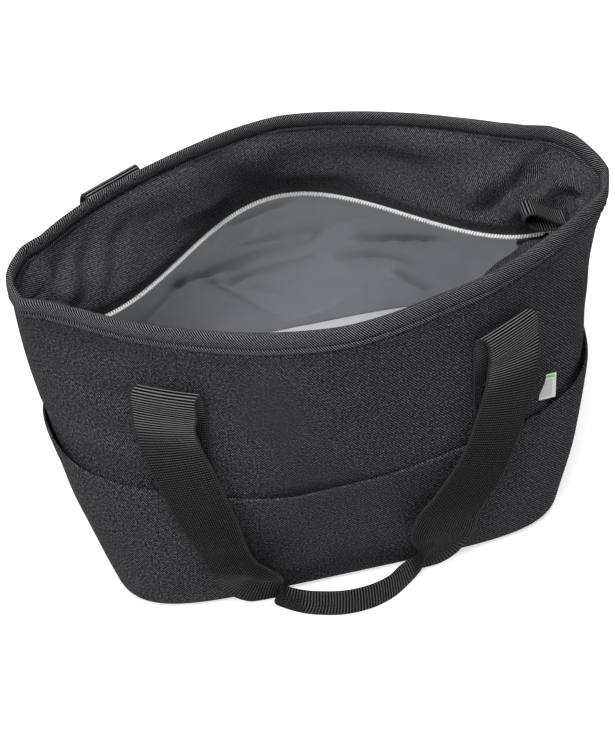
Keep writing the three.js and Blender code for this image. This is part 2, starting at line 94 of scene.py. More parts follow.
def feed(node, values):
    """Join a node's inputs, by name or number, to sockets, or set them to plain values."""
    for key, value in values.items():
        if isinstance(value, bpy.types.NodeSocket):
            node.id_data.links.new(value, node.inputs[key])
        else:
            node.inputs[key].default_value = value


def add(kind, *sources, tree=None, into=None, out=0, **settings):
    """A new node, fed with sockets or values in order; gives its output. It goes into the same
    tree as the sockets, unless a tree is named."""
    tree = tree or next(source.id_data for source in sources if isinstance(source, bpy.types.NodeSocket))
    node = tree.nodes.new(kind)
    for key, value in settings.items():
        setattr(node, key, value)
    feed(node, dict(zip(into or range(len(sources)), sources)))
    return node.outputs[out]


def calc(operation, *sources):
    """One step of arithmetic on sockets and numbers."""
    return add("ShaderNodeMath", *sources, operation=operation)


def times(first, second):
    """A product of sockets or numbers."""
    return calc("MULTIPLY", first, second)


world = bpy.data.worlds.new("world")
world.use_nodes = True
scene.world = world
rays = add("ShaderNodeLightPath", tree=world.node_tree).node.outputs
seen = calc("MAXIMUM", rays["Is Camera Ray"], rays["Is Transmission Ray"])
strength = add("ShaderNodeMix", seen, WORLD_LIGHT, 1.0, data_type="FLOAT", into=[0, 2, 3])
feed(world.node_tree.nodes["Background"], {"Color": (1, 1, 1, 1), "Strength": strength})


def outward(points, faces):
    """The faces of a closed piece, all turned over if they look inwards: the volume, the sum of
    a . (b x c) / 6 over their triangles, is then below 0."""
    corners = points[faces]
    volume = sum(np.sum(corners[:, 0] * np.cross(corners[:, k], corners[:, k + 1]))
                 for k in range(1, faces.shape[1] - 1))
    return faces if volume >= 0 else faces[:, ::-1]


def make(name, points, faces, places=None, crease=50):
    """A mesh object from points in millimetres, faces of three or four point numbers, and, where its
    finish reads them, each point's place on the cloth in metres. Edges that bend by more than the
    crease angle are sharp."""
    points, faces = np.asarray(points, float), np.asarray(faces, int)
    faces = outward(points, faces)
    mesh = bpy.data.meshes.new(name)
    mesh.vertices.add(len(points))
    mesh.vertices.foreach_set("co", (points * 0.001).ravel())
    mesh.loops.add(faces.size)
    mesh.loops.foreach_set("vertex_index", faces.ravel())
    mesh.polygons.add(len(faces))
    mesh.polygons.foreach_set("loop_start", np.arange(len(faces)) * faces.shape[1])
    mesh.update(calc_edges=True)
    if places is not None:
        mesh.uv_layers.new(name="cloth").data.foreach_set("uv", places[faces.ravel()].ravel())
    mesh.polygons.foreach_set("use_smooth", np.full(len(faces), True))
    mesh.set_sharp_from_angle(angle=math.radians(crease))
    mesh.update()
    ob = bpy.data.objects.new(name, mesh)
    scene.collection.objects.link(ob)
    return ob


def material(name):
    """A material and its Principled shader."""
    made = bpy.data.materials.new(name)
    made.use_nodes = True
    return made, made.node_tree.nodes["Principled BSDF"]


FLOOR_CORNERS = [[-4000, -4000, 0], [4000, -4000, 0], [4000, 4000, 0], [-4000, 4000, 0]]
floor = make("floor", FLOOR_CORNERS, [[0, 1, 2, 3]])
pale_floor, shader = material("pale_floor")
rays = add("ShaderNodeLightPath", tree=pale_floor.node_tree).node.outputs
seen = calc("MAXIMUM", rays["Is Glossy Ray"], rays["Is Transmission Ray"])
seen = calc("MAXIMUM", rays["Is Camera Ray"], seen)
feed(shader, {"Base Color": (0.8, 0.8, 0.8, 1), "Roughness": 0.9, "Specular IOR Level": 0.0,
              "Emission Color": (1, 1, 1, 1), "Emission Strength": times(seen, FLOOR_LIGHT)})
floor.data.materials.append(pale_floor)

# Outer cloth
# The front and back walls are black twill over foam. Each is one cut, shaped by the boxed base
# below and the open rim above, and its foot turns under the base.

BASE_LENGTH, RIM_LENGTH, BAG_HEIGHT = 253, 320, 206
END_SWELL, FACE_SWELL = 9, 5
EDGE_RADIUS, LIP, UNDER_HEM, LAYER_TOP = 9, 3, 204.7, 186
WALL_RUN = 420
# Each wall has its half depths at base and rim, the powers of its outline at the rim, and how far the
# rim is pushed out beside its left and right end seams, at runs along it from the seam
FRONT = dict(sign=-1, base=90.5, rim=69, p=1.8, q=1.15,
             ends=[((0, 5, 20, 40), (0, 8, 2.2, 0)), ((0, 8, 33, 72, 100, 130), (0, 9, 7, 4.6, 2.5, 0))])
BACK = dict(sign=1, base=86.5, rim=78, p=1.45, q=1.6,
            ends=[((0, 4, 22, 36), (0, 4.6, 4.6, 0)), ((0, 20, 35, 50, 66, 90), (0, 9.5, 8.3, 3.4, 0.8, 0))])
SIDES = dict(front=FRONT, back=BACK)


def section(side, z):
    """Half length, half depth and powers of the bag's outline at heights z:
    y = deep (1 - |x / long|^p)^(1 / q)."""
    share = np.clip(z / BAG_HEIGHT, 0, 1)
    swell = np.sin(np.pi * share)
    long = (BASE_LENGTH + (RIM_LENGTH - BASE_LENGTH) * share) / 2 + END_SWELL * swell
    deep = side["base"] + (side["rim"] - side["base"]) * share + FACE_SWELL * swell
    p = side["p"] + (5 - side["p"]) * (1 - share) ** 3
    q = side["q"] + (9 - side["q"]) * (1 - share) ** 2.6
    return long, deep, p, q


def step(value, low, high):
    """0 below low, 1 above high, 3t^2 - 2t^3 between."""
    t = np.clip((value - low) / (high - low), 0, 1)
    return t * t * (3 - 2 * t)


def clear_of_ends(share, fade):
    """1 along a wall, falling to 0 at both of its end seams over that share of the wall."""
    return step(0.5 - np.abs(share - 0.5), 0, fade)


def travel(points):
    """The distance run along a row of points, from 0 at the first one."""
    return np.concatenate([[0], np.cumsum(np.linalg.norm(np.diff(points, axis=0), axis=-1))])


def even_share(u, v, share):
    """The points at given shares of the way along a line with coordinates u and v."""
    run = travel(np.stack([u, v], -1))
    return np.interp(share * run[-1], run, u), np.interp(share * run[-1], run, v)


def outline(side, z, share, inset=0.0):
    """Rows of points of a wall at heights z, at even shares of the way from the left seam to the
    right one, drawn in by an inset: x (1 - inset mitre / long), y (1 - inset / deep). Near the rim
    the ends are blunt, and the inset runs square to the outline."""
    z = np.asarray(z, float)
    inset = np.broadcast_to(inset, len(z))
    near = step(z, 145, 204)
    mitre = 1 + 0.6 * np.clip(z / BAG_HEIGHT, 0, 1)
    rows = []
    for depth, blunt, cut, long, deep, p, q in zip(inset, near, mitre, *section(side, z)):
        x = long * np.sin(np.linspace(-0.5, 0.5, 601) * np.pi)
        y = deep * np.maximum(0, 1 - np.abs(x / long) ** p) ** (1 / q)
        run = travel(np.stack([x, y], -1))
        for away, (at, pushed) in zip((run, run[-1] - run), side["ends"]):
            y = y + blunt * np.interp(away, at, pushed)
        dx, dy = np.gradient(x), np.gradient(y)
        slope = np.hypot(dx, dy)
        u = x * (1 - depth * cut / long) * (1 - blunt) + (x + depth * dy / slope) * blunt
        v = y * (1 - depth / deep) * (1 - blunt) + (y - depth * dx / slope) * blunt
        if depth > 0 and blunt > 0:
            # The two walls meet where the drawn-in line crosses y = 0
            inside = np.flatnonzero(v > 0)
            for end, inner in ((inside[0] - 1, inside[0]), (inside[-1] + 1, inside[-1])):
                if 0 <= end < len(v):
                    u[end] = u[end] + v[end] / (v[end] - v[inner]) * (u[inner] - u[end])
                    v[end] = 0
            kept = slice(max(inside[0] - 1, 0), inside[-1] + 2)
            u, v = u[kept], v[kept]
        elif depth < 0 and blunt > 0:
            u, v = np.concatenate([[u[0]], u, [u[-1]]]), np.concatenate([[0], v, [0]])
        rows.append(even_share(u, v, share))
    x, y = np.moveaxis(np.array(rows), 1, 0)
    return np.stack([x, side["sign"] * y, np.broadcast_to(z[:, None], x.shape)], -1)


def unit(vectors):
    """Vectors at length 1."""
    return vectors / np.maximum(np.linalg.norm(vectors, axis=-1, keepdims=True), 1e-9)


def facing(grid, sign=1):
    """Unit normals of a grid of points: the cross product of its two directions."""
    return unit(np.cross(np.gradient(grid, axis=1), np.gradient(grid, axis=0)) * sign)


def wander(u, v, cell, seed):
    """Smooth seeded noise from -1 to 1: values on a lattice of that cell, blended by 3t^2 - 2t^3."""
    lattice = np.random.default_rng(seed).uniform(-1, 1, (97, 97))
    u, v = np.asarray(u) / cell + 40, np.asarray(v) / cell + 40
    i, j = np.floor(u).astype(int), np.floor(v).astype(int)
    s, t = u - i, v - j
    s, t = s * s * (3 - 2 * s), t * t * (3 - 2 * t)
    i, j = i % 96, j % 96
    low = lattice[i, j] * (1 - s) + lattice[i + 1, j] * s
    high = lattice[i, j + 1] * (1 - s) + lattice[i + 1, j + 1] * s
    return low * (1 - t) + high * t


def hill(value, middle, width):
    """A smooth bump of height 1: exp(-((value - middle) / width)^2)."""
    return np.exp(-(((value - middle) / width) ** 2))


def puckers(side, x, z):
    """How far the outer cloth stands proud of its plain shape: a slow swell, soft level folds by
    the left end, a soft upright crease by the right end, and the pull of the rim's seam."""
    seed = 3 if side["sign"] < 0 else 5
    slow = 0.8 * wander(x, z, 46, seed) + 0.45 * wander(x, z, 21, seed + 1)
    level = 0.95 * hill(x, -118, 38) * hill(z, 140, 48) * np.sin(z / 3.6 + 1.6 * wander(x, z, 30, 9))
    level = level + 0.5 * hill(x, 128, 24) * hill(z, 120, 50) * np.sin(z / 4.5 + x / 14)
    upright = -1.1 * hill(x - 0.06 * (z - 100), 121, 5) * hill(z, 96, 34)
    seam = 0.35 * np.sin(x / 2.4 + 2 * wander(x, z, 25, 11)) * hill(z, 187, 6)
    foam_edge = 0.55 * hill(z, 189.8, 1.9) - 0.5 * hill(z, 184.6, 2.2) - 0.7 * hill(z, 193.4, 1.2)
    return (slow + level + upright) * step(z, 12, 45) * step(BAG_HEIGHT - z, 6, 26) + seam + foam_edge


def patches(number):
    """The four-sided faces of a grid of point numbers."""
    return np.stack([number[:-1, :-1], number[:-1, 1:], number[1:, 1:], number[1:, :-1]], -1).reshape(-1, 4)


def closed_sheet(outer, inner):
    """Points and faces of a closed sheet between two grids: both sides and the edge between."""
    number = np.arange(outer[..., 0].size).reshape(outer.shape[:2])
    top = patches(number)
    rim = [number[::-1, 0], number[:, -1], number[0], number[-1, ::-1]]
    edges = [np.stack([row[1:], row[:-1], row[:-1] + number.size, row[1:] + number.size], -1) for row in rim]
    points = np.concatenate([outer.reshape(-1, 3), inner.reshape(-1, 3)])
    return points, outward(points, np.concatenate([top, top[:, ::-1] + number.size, *edges]))


def slab(name, outer, inner, places, crease=50):
    """A closed sheet between two grids of points, with the same places on both sides."""
    return make(name, *closed_sheet(outer, inner), np.concatenate([np.reshape(places, (-1, 2))] * 2), crease)


def cloth_places(grid):
    """Each point's place on its flat cut, in metres: the run from the middle column along its row,
    and the run of the middle column up to its row."""
    middle = grid.shape[1] // 2
    across = np.stack([travel(row) for row in grid])
    across = across - across[:, middle, None]
    along = travel(grid[:, middle])[:, None]
    return np.stack([across, np.broadcast_to(along, across.shape)], -1) * 0.001


def group(name, **numbers):
    """A node group that turns a place and named numbers into a height and a tone, with painted highlight in
    the tone. Gives the group, its inputs' sockets and its end node."""
    made = bpy.data.node_groups.new(name, "ShaderNodeTree")
    made.interface.new_socket("Place", in_out="INPUT", socket_type="NodeSocketVector")
    for label, value in numbers.items():
        socket = made.interface.new_socket(label, in_out="INPUT", socket_type="NodeSocketFloat")
        socket.default_value = value
    for label in ("Height", "Tone And Highlight"):
        made.interface.new_socket(label, in_out="OUTPUT", socket_type="NodeSocketFloat")
    return made, made.nodes.new("NodeGroupInput").outputs, made.nodes.new("NodeGroupOutput")


def plus(first, second):
    """A sum of sockets or numbers."""
    return calc("ADD", first, second)


def ramp(value, slope, start):
    """value slope + start."""
    return calc("MULTIPLY_ADD", value, slope, start)


def noise(place, scale, detail, rough=0.5):
    """Cloudy noise about 0.5."""
    return add("ShaderNodeTexNoise", place, scale, detail, rough,
               into=["Vector", "Scale", "Detail", "Roughness"])


def tinted(colour, tone):
    """A colour times a tone."""
    return add("ShaderNodeVectorMath", colour, tone, operation="SCALE", into=[0, 3])


def bump(height, strength, distance):
    """The normals of a relief, with its depth in metres."""
    return add("ShaderNodeBump", strength, distance, height, into=["Strength", "Distance", "Height"])


def on_cloth(shader):
    """The surface's place on its flat cut."""
    return add("ShaderNodeUVMap", tree=shader.id_data, uv_map="cloth")


def in_object(shader):
    """The surface's place in the object."""
    return add("ShaderNodeTexCoord", tree=shader.id_data, out=3)


# Twill: ribs that climb across the cloth, each made of short floats of thread. The tone colours the weave's
# crests lighter and its hollows darker, as painted highlight and shade
twill, given, result = group("twill_weave", Pitch=0.0013, Speckle=0.5, Rib=0.3)
across = add("ShaderNodeSeparateXYZ", given["Place"])
along = across.node.outputs[1]
diagonal = calc("DIVIDE", plus(across, times(along, 0.8)), given["Pitch"])
rib = calc("SINE", times(diagonal, 2 * math.pi))
thread = calc("DIVIDE", calc("SUBTRACT", across, along), times(given["Pitch"], 0.62))
shift = times(calc("FLOOR", diagonal), math.pi)
floats = calc("SINE", plus(times(thread, 2 * math.pi), shift))
height = plus(plus(times(rib, given["Rib"]), times(floats, 0.2)), 0.5)
grain = calc("SUBTRACT", noise(given["Place"], 820.0, 3.0, 0.75), 0.5)
height = plus(height, times(grain, given["Speckle"]))
# Painted highlight and shade: the tone is high on the weave's crests and low in its hollows, plus random
# grain
tone = ramp(calc("POWER", calc("MAXIMUM", height, 0.0), 2.6), 3.4, 0.12)
feed(result, {"Height": height, "Tone And Highlight": tone})


def twill_finish(name, colour, pitch=0.0015, relief=0.0003, speckle=2.5, rib_depth=0.3):
    """Black twill cloth: woven relief, crests of the weave coloured lighter as painted highlight, and a slow
    fading.
    """
    made, shader = material(name)
    place = on_cloth(shader)
    weave = add("ShaderNodeGroup", place, pitch, speckle, rib_depth, node_tree=twill).node.outputs
    tone = times(weave["Tone And Highlight"], ramp(noise(place, 28.0, 3.0, 0.6), 0.5, 0.75))
    feed(shader, {"Base Color": tinted(colour, tone), "Normal": bump(weave["Height"], 0.9, relief),
                  "Roughness": ramp(weave["Height"], -0.16, 0.88), "Specular IOR Level": 0.05})
    return made


black_twill = twill_finish("black_twill", (0.042, 0.042, 0.047))


def profile(depth, top, count):
    """The rows of a wall layer at a depth below the outer cloth: along the lip under the base,
    round the bottom edge by a quarter circle, and up to the top. Gives insets and heights."""
    turn = np.linspace(0, np.pi / 2, 9)
    radius = EDGE_RADIUS - depth
    inset = np.concatenate([[EDGE_RADIUS + LIP], EDGE_RADIUS - radius * np.sin(turn), np.full(count, depth)])
    height = np.concatenate([[depth], EDGE_RADIUS - radius * np.cos(turn),
                             np.linspace(EDGE_RADIUS, top, count + 1)[1:]])
    return inset, height


def layer(side, depth, top, count, share):
    """The grid of a wall layer at a depth below the outer cloth."""
    inset, height = profile(depth, top, count)
    return outline(side, height, share, inset)


def finish(ob, look, body, nodes=()):
    """The piece's look, the body that it rides on, and the solids that it stands for."""
    ob.data.materials.append(look)
    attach(ob, body)
    if nodes:
        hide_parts(*nodes)
    return ob


CLOTH_SHARES = np.concatenate([[0, 0.0015, 0.003, 0.005], np.linspace(0.008, 0.992, 206),
                               [0.995, 0.997, 0.9985, 1]])
for word, side in SIDES.items():
    outer = layer(side, 0, UNDER_HEM, 112, CLOTH_SHARES)
    normal = facing(outer, -side["sign"])
    from_seam = WALL_RUN * np.minimum(CLOTH_SHARES, 1 - CLOTH_SHARES)
    push = puckers(side, outer[..., 0], outer[..., 2]) * clear_of_ends(CLOTH_SHARES, 0.03)
    push = push - 0.55 * hill(from_seam, 0, 1.1) * step(outer[..., 2], 0, EDGE_RADIUS)
    outer = outer + push[..., None] * normal
    ob = slab(f"{word}_cloth", outer, outer - normal, cloth_places(outer))
    finish(ob, black_twill, "bag", [f"{word}_shell"])

# Base
# The base is a stack of flat plates inside the walls' turned lips: outer cloth, foam, a stiff
# board, and the lining's floor, which is made further on.


def plate(name, low, high, inset, rows=24, push=None):
    """A flat plate of the base outline: the front half section run across to the back one."""
    share = np.linspace(0, 1, 90)
    front, rear = (outline(side, [(low + high) / 2], share, inset)[0] for side in (FRONT, BACK))
    mix = np.linspace(0, 1, rows)[:, None, None]
    over = front * (1 - mix) + rear * mix
    under = over.copy()
    over[..., 2] = high + (push(over[..., 0], over[..., 1]) if push else 0)
    under[..., 2] = low
    return slab(name, over, under, over[..., :2] * 0.001)


SEAT = EDGE_RADIUS + LIP + 0.3
base_cloth = finish(plate("base_cloth", 0.1, 1.0, SEAT), black_twill, "bag", ["base_panel"])

white_foam, shader = material("white_foam")
cells = add("ShaderNodeTexVoronoi", in_object(shader), 900.0, into=["Vector", "Scale"])
feed(shader, {"Base Color": (0.78, 0.78, 0.75, 1), "Roughness": ramp(cells, 0.2, 0.7),
              "Normal": bump(cells, 0.5, 0.0002)})

grey_board, shader = material("grey_board")
fibre = noise(in_object(shader), 600.0, 4.0)
feed(shader, {"Base Color": (0.5, 0.5, 0.48, 1), "Roughness": ramp(fibre, 0.3, 0.6)})

base_foam_pad = finish(plate("base_foam_pad", 1.35, 2.8, SEAT), white_foam, "bag", ["base_foam"])
finish(plate("base_stiffener", 3.3, 4.8, SEAT), grey_board, "bag", ["base_board"])

# Insulation
# Each wall has a sheet of white foam behind its cloth, which stops below the rim hem.

FOAM_FROM, FOAM_TO = 1.9, 4.7
for word, side in SIDES.items():
    outer, inner = (layer(side, depth, LAYER_TOP, 36, np.linspace(0.001, 0.999, 90))
                    for depth in (FOAM_FROM, FOAM_TO))
    ob = slab(f"{word}_insulation", outer, inner, cloth_places(outer))
    finish(ob, white_foam, "bag", [f"{word}_foam"])

# Lining
# The inside is a soft silvery film. It is cut like the walls, a little full, so it creases. Each
# fold has its line's two ends (x, z), its width and its height.

LINING_FROM, LINING_TO = 5.2, 6.0
BACK_FOLDS = [
    ((-60, 80), (-24, 83), 14, 2.6), ((-24, 83), (19, 96), 12, 2.6), ((-41, 76), (-20, 50), 11, 2.6),
    ((-20, 50), (0, 25), 13, 2.2), ((-41, 76), (27, 26), 15, 2.4), ((32, 73), (52, 70), 9, 2.2),
    ((52, 70), (76, 57), 10, 1.8), ((46, 86), (88, 81), 10, 2.4), ((69, 48), (92, 26), 10, 2.6),
    ((-8, 12), (34, 26), 10, 2.2), ((-82, 50), (-58, 82), 12, 1.8), ((18, 44), (68, 43), 14, 1.6),
    ((-20, 99), (17, 96), 9, 1.6), ((-26, 122), (5, 128), 12, 1.4), ((-30, 67), (17, 75), 8, 1.8)]
FRONT_FOLDS = [
    ((-80, 40), (-20, 90), 14, 2.4), ((-10, 100), (60, 60), 13, 2.4), ((40, 30), (90, 110), 12, 2.2)]
FILM_FOLDS = dict(front=(FRONT_FOLDS, 21), back=(BACK_FOLDS, 33))


def creases(u, v, folds, seed):
    """The film's folds: along each line the film rises to a sharp crest, high exp(-d / width) at a
    distance d, and fades past the line's ends. Small folds cross them where noise crosses zero."""
    total = 0.8 * (1 - np.abs(wander(u, v + 6 * wander(u, v, 18, seed + 6), 23, seed + 1)) ** 0.8)
    total = total + 0.9 * wander(u, v, 40, seed)
    for (u0, v0), (u1, v1), width, high in folds:
        length = math.hypot(u1 - u0, v1 - v0)
        along = ((u - u0) * (u1 - u0) + (v - v0) * (v1 - v0)) / length
        aside = np.abs((u - u0) * (v1 - v0) - (v - v0) * (u1 - u0)) / length
        within = step(along, -9, 5) * step(length - along, -9, 5)
        total = total + 1.15 * high * np.exp(-aside / width * 3.4) * within
    return total


def film_finish(name, colour, metal, rough):
    """Silvery film: a grey sheet with a soft sheen, hazed by handling."""
    made, shader = material(name)
    place = on_cloth(shader)
    weave, haze = noise(place, 900.0, 2.0), noise(place, 35.0, 4.0, 0.65)
    feed(shader, {"Base Color": tinted(colour, ramp(haze, 0.4, 0.8)), "Metallic": metal,
                  "Roughness": ramp(haze, 0.2, rough),
                  "Normal": bump(plus(times(weave, 0.08), times(haze, 0.5)), 0.5, 0.0012)})
    return made


silver_film = film_finish("silver_film", (0.315, 0.326, 0.342), 0.3, 0.3)
# The floor's film is the walls' silvery film coloured much paler: painted light, as the floor faces the lamp
# above
painted_lit_film = film_finish("painted_lit_film", (0.72, 0.73, 0.74), 0.1, 0.5)

for word, side in SIDES.items():
    share = np.linspace(0, 1, 240)
    inner, outer = (layer(side, depth, LAYER_TOP, 120, share) for depth in (LINING_TO, LINING_FROM))
    height = inner[..., 2]
    push = creases(inner[..., 0], height, *FILM_FOLDS[word])
    push = push * step(height, 8, 30) * step(152 - height, 0, 14) * clear_of_ends(share, 0.04)
    inner = inner + push[..., None] * facing(inner, side["sign"])
    ob = slab(f"{word}_lining_film", inner, outer, cloth_places(inner))
    finish(ob, silver_film, "bag", [f"{word}_lining"])


def sag(x, y):
    """The lining's floor: flat, with low creases that fade towards its edge."""
    edge = step(1 - np.maximum(np.abs(x) / 112, np.abs(y) / 74), 0, 0.2)
    return 0.5 * creases(x, y, [], 41) * edge


lining_base = plate("lining_base", 9.6, 10.4, 6.3, rows=90, push=sag)
# The floor film's pale colour is painted light
finish(lining_base, painted_lit_film, "bag", ["lining_floor"])

# Rim hem
# A band of the same twill is folded over the rim and topstitched through all the layers.

# The rim's twill is coloured a little paler than the walls', with a stronger painted highlight on its crests:
# painted light on the rim, which faces the lamps
rim_twill_painted_lit = twill_finish("rim_twill_painted_lit", (0.045, 0.045, 0.049), 0.0014, 0.0005, speckle=1.2, rib_depth=0.75)
STITCH_LINE = 196.7
# The band's closed section, as insets and heights, with a groove at the stitches on both sides
HEM_RING = np.array([[-0.2, 193.0], [-0.95, 193.3], [-1.3, 194.4], [-1.0, 195.9], [-0.1, STITCH_LINE],
                     [-1.0, 197.6], [-1.3, 199.4], [-1.35, 201.4], [-1.1, 203.2], [-0.6, 204.7], [0.2, 205.7],
                     [1.1, 206.0], [2.0, 205.7], [2.7, 204.7], [3.1, 203.0], [3.3, 200.6], [3.3, 197.7],
                     [2.4, STITCH_LINE], [3.3, 195.7], [3.2, 194.0], [2.6, 193.2]])


def tube(name, grid, places):
    """A closed skin in triangles from a grid whose rows go round a ring and whose columns go along
    a path. Each end is a fan about the middle of its ring."""
    rows, columns = grid.shape[:2]
    number = np.arange(rows * columns).reshape(rows, columns)
    number = np.vstack([number, number[:1]])
    skin = patches(number)
    first, last = (np.stack([ring[:-1], ring[1:], np.full(rows, rows * columns + k)], -1)
                   for k, ring in enumerate((number[:, 0], number[:, -1])))
    faces = np.concatenate([skin[:, [0, 1, 2]], skin[:, [0, 2, 3]], first, last[:, ::-1]])
    points, places = (np.concatenate([array.reshape(rows * columns, -1), array[:, [0, -1]].mean(axis=0)])
                      for array in (grid, places))
    return make(name, points, faces, places)


def bare_tube(name, grid):
    """A tube whose finish needs no places."""
    return tube(name, grid, np.zeros(grid.shape[:2] + (2,)))


def ring_places(grid):
    """Places on a band of cloth: along the path, and round the ring, in metres."""
    return np.stack(np.meshgrid(travel(grid[0]), travel(grid[:, grid.shape[1] // 2])), -1) * 0.001


for word, side in SIDES.items():
    share = np.linspace(0, 1, 300)
    grid = outline(side, HEM_RING[:, 1], share, HEM_RING[:, 0])
    x, z = grid[..., 0], grid[..., 2].copy()
    wave = 0.5 * wander(x, z * 0.2, 26, 51 if word == "front" else 57)
    wave = wave + 0.16 * np.sin(x / 1.3) * hill(z, STITCH_LINE, 2.0)
    grid[..., 1] += wave * clear_of_ends(share, 0.03)
    grid[..., 2] += 0.3 * wander(x, 0 * x, 30, 61) * step(z, 196, 203)
    ob = tube(f"{word}_hem_band", grid, ring_places(grid))
    finish(ob, rim_twill_painted_lit, "bag", [f"{word}_rim_hem"])

# The thread is coloured darker than the black cloth: painted shade, for the dark line of the stitch grooves
black_thread_and_groove_shade, shader = material("black_thread_and_groove_shade")
twist = noise(in_object(shader), 2500.0, 2.0)
feed(shader, {"Base Color": tinted((0.012, 0.012, 0.013), ramp(twist, 1.0, 0.6)),
              "Roughness": ramp(twist, 0.3, 0.4)})


def stitches(name, middle, along, out, length, width=0.6, height=0.6):
    """Short rounded stitches in one mesh: each is a low six-sided grain, pinched at its two ends,
    that lies along one direction and bulges out along another."""
    along = unit(along)
    across = unit(np.cross(along, out))
    out = np.cross(across, along)
    turn = np.linspace(0, 2 * np.pi, 7)[:-1]
    girth = np.array([[0.25], [1.0], [1.0], [0.25]])
    shifts = np.stack(np.broadcast_arrays(length * np.array([[-0.5], [-0.34], [0.34], [0.5]]),
                                          width / 2 * girth * np.cos(turn),
                                          height / 2 * girth * np.sin(turn)), -1)
    axes = np.stack([along, across, out], 1)
    points = middle[:, None] + shifts.reshape(-1, 3) @ axes
    number = np.arange(24).reshape(4, 6)
    caps = [[0, 5, 4, 1], [1, 4, 3, 2], [18, 19, 22, 23], [19, 20, 21, 22]]
    grain = np.concatenate([patches(np.hstack([number, number[:, :1]])), caps])
    faces = (grain + 24 * np.arange(len(middle))[:, None, None]).reshape(-1, 4)
    return finish(make(name, points.reshape(-1, 3), faces, crease=80), black_thread_and_groove_shade, "bag")


def spots(points, run, at):
    """The points at given runs along a row of points."""
    return np.stack([np.interp(at, run, column) for column in points.T], -1)


HEM_PITCH = 3.2
for word, side in SIDES.items():
    for where, inset in (("outer", -0.35), ("inner", 2.6)):
        row = outline(side, [STITCH_LINE], np.linspace(0.012, 0.988, 1200), inset)[0]
        run = travel(row)
        at = np.arange(HEM_PITCH, run[-1] - HEM_PITCH, HEM_PITCH)
        middle = spots(row, run, at)
        ahead = spots(row, run, at + 1) - middle
        stitches(f"{word}_hem_stitches_{where}", middle, ahead, np.cross(ahead, [0, 0, 1]),
                 0.72 * HEM_PITCH, width=0.55)

# Zip panels
# Under each hem hangs a panel of twill. It drops over the foam's edge and slants inwards to the
# zip, almost upright in the middle and bunched towards the two ends.

ZIP_LENGTH, ZIP_LENS, ZIP_NECK, ZIP_RISE = 286, 256, 7.4, 10
ZIP_OFF_WALL = 8.2
PANEL_SEAM, PANEL_LOW, PANEL_DROP = 152.4, 148.1, 52
flap_twill = twill_finish("flap_twill", (0.04, 0.04, 0.0445), 0.0012, speckle=2.0, rib_depth=0.45)
# Insets and heights down the panel, and how far it has gone over from the wall to the zip's line
PANEL_STATIONS = [(1.4, 204.5, 0), (1.5, 199, 0), (1.9, 194, 0), (5.0, 188, 0), (6.5, 184, 0.06),
                  (6.6, 176, 0.26), (6.6, 166, 0.6), (6.5, 157, 0.9), (6.4, PANEL_SEAM, 1),
                  (6.4, PANEL_LOW, 1)]


def through(points, t):
    """A smooth curve through evenly counted points (Catmull-Rom), at values t from 0 to 1."""
    points = np.asarray(points, float)
    count = len(points)
    at = np.clip(np.asarray(t, float), 0, 1) * (count - 1)
    k = np.clip(np.floor(at).astype(int), 0, count - 2)
    s = (at - k).reshape((-1,) + (1,) * (points.ndim - 1))
    padded = np.concatenate([2 * points[:1] - points[1:2], points, 2 * points[-1:] - points[-2:-1]])
    a, b, c, d = padded[k], padded[k + 1], padded[k + 2], padded[k + 3]
    square, cube = 2 * a - 5 * b + 4 * c - d, 3 * b - a - 3 * c + d
    return 0.5 * (2 * b + (c - a) * s + square * s ** 2 + cube * s ** 3)


def zip_line(side, inset, height, share):
    """Rows of points along the zip: y = neck + (deepest - neck) (1 + cos(pi x / 128)) / 2. The line
    climbs from its middle to its ends by ZIP_RISE, along the same cosine."""
    height = np.asarray(height, float)
    rows = []
    for z in height:
        deepest = section(side, z)[1] - ZIP_OFF_WALL
        end = ZIP_LENGTH / 2 - inset
        x = np.linspace(-end, end, 401)
        phase = np.pi * np.clip(2 * x / ZIP_LENS, -1, 1)
        slope = (deepest - ZIP_NECK) * np.pi / ZIP_LENS * np.sin(phase)
        y = ZIP_NECK + (deepest - ZIP_NECK) * (1 + np.cos(phase)) / 2 - inset * np.hypot(1, slope)
        x, y = np.concatenate([[-end], x, [end]]), np.concatenate([[0.15], y, [0.15]])
        rows.append(even_share(x, y, share))
    x, y = np.moveaxis(np.array(rows), 1, 0)
    rise = ZIP_RISE * (1 - np.cos(np.pi * np.clip(2 * x / ZIP_LENS, -1, 1))) / 2
    return np.stack([x, side["sign"] * y, height[:, None] + rise], -1)


def panel_folds(word, x, z, drop):
    """How far a zip panel swells away from its plain shape: slow waves, a fan of folds bunched
    towards the ends, and the few deep folds of each panel."""
    fan = np.sin(x / 3.2 + 5.0 * drop + 2.2 * wander(x, z, 24, 71))
    bunch = step(np.abs(x), 70, 128) * (1.5 * fan + 2.0 * wander(x, z * 1.4, 17, 77))
    push = step(drop, 0.2, 0.5) * step(1.08 - drop, 0.0, 0.3) * (0.8 * wander(x, z, 22, 73) + bunch)
    broad = 3.8 * np.sin((x * 0.8 + z * 0.7) / 9.5 + 2.4 * wander(x, z, 60, 79))
    broad = (3.4 + broad + 1.6 * wander(x, z, 34, 78)) * (1 if word == "back" else 0.3)
    push = push + broad * step(drop, 0.1, 0.35) * step(1.0 - drop, 0.0, 0.3) * step(150 - np.abs(x), 0, 30)
    if word == "front":
        deep = 9 * hill(x, -139, 13) * hill(z, 187, 10) - 5 * hill(x, -131, 2.6) * hill(z, 184, 9)
        deep = deep + 5 * hill(x, 150, 7) * hill(z, 186, 12) * (1 + 0.4 * np.sin(z / 1.9))
    else:
        valley = x - 99 - 1.19 * (z - 154)
        deep = 5 * hill(valley, -14, 9) - 9 * hill(valley, 0, 6) + 7 * hill(valley, 13, 7)
        deep = deep * hill(z, 167, 20) * step(z, 152, 161) * step(x, 84, 96)
        deep = deep + 4 * hill(x + 0.4 * (z - 180), -138, 6) * hill(z, 178, 15)
    deep = deep + 1.5 * wander(x, z * 1.3, 7, 74) * step(np.abs(x), 132, 146)
    return push + deep * step(drop, 0.04, 0.16)


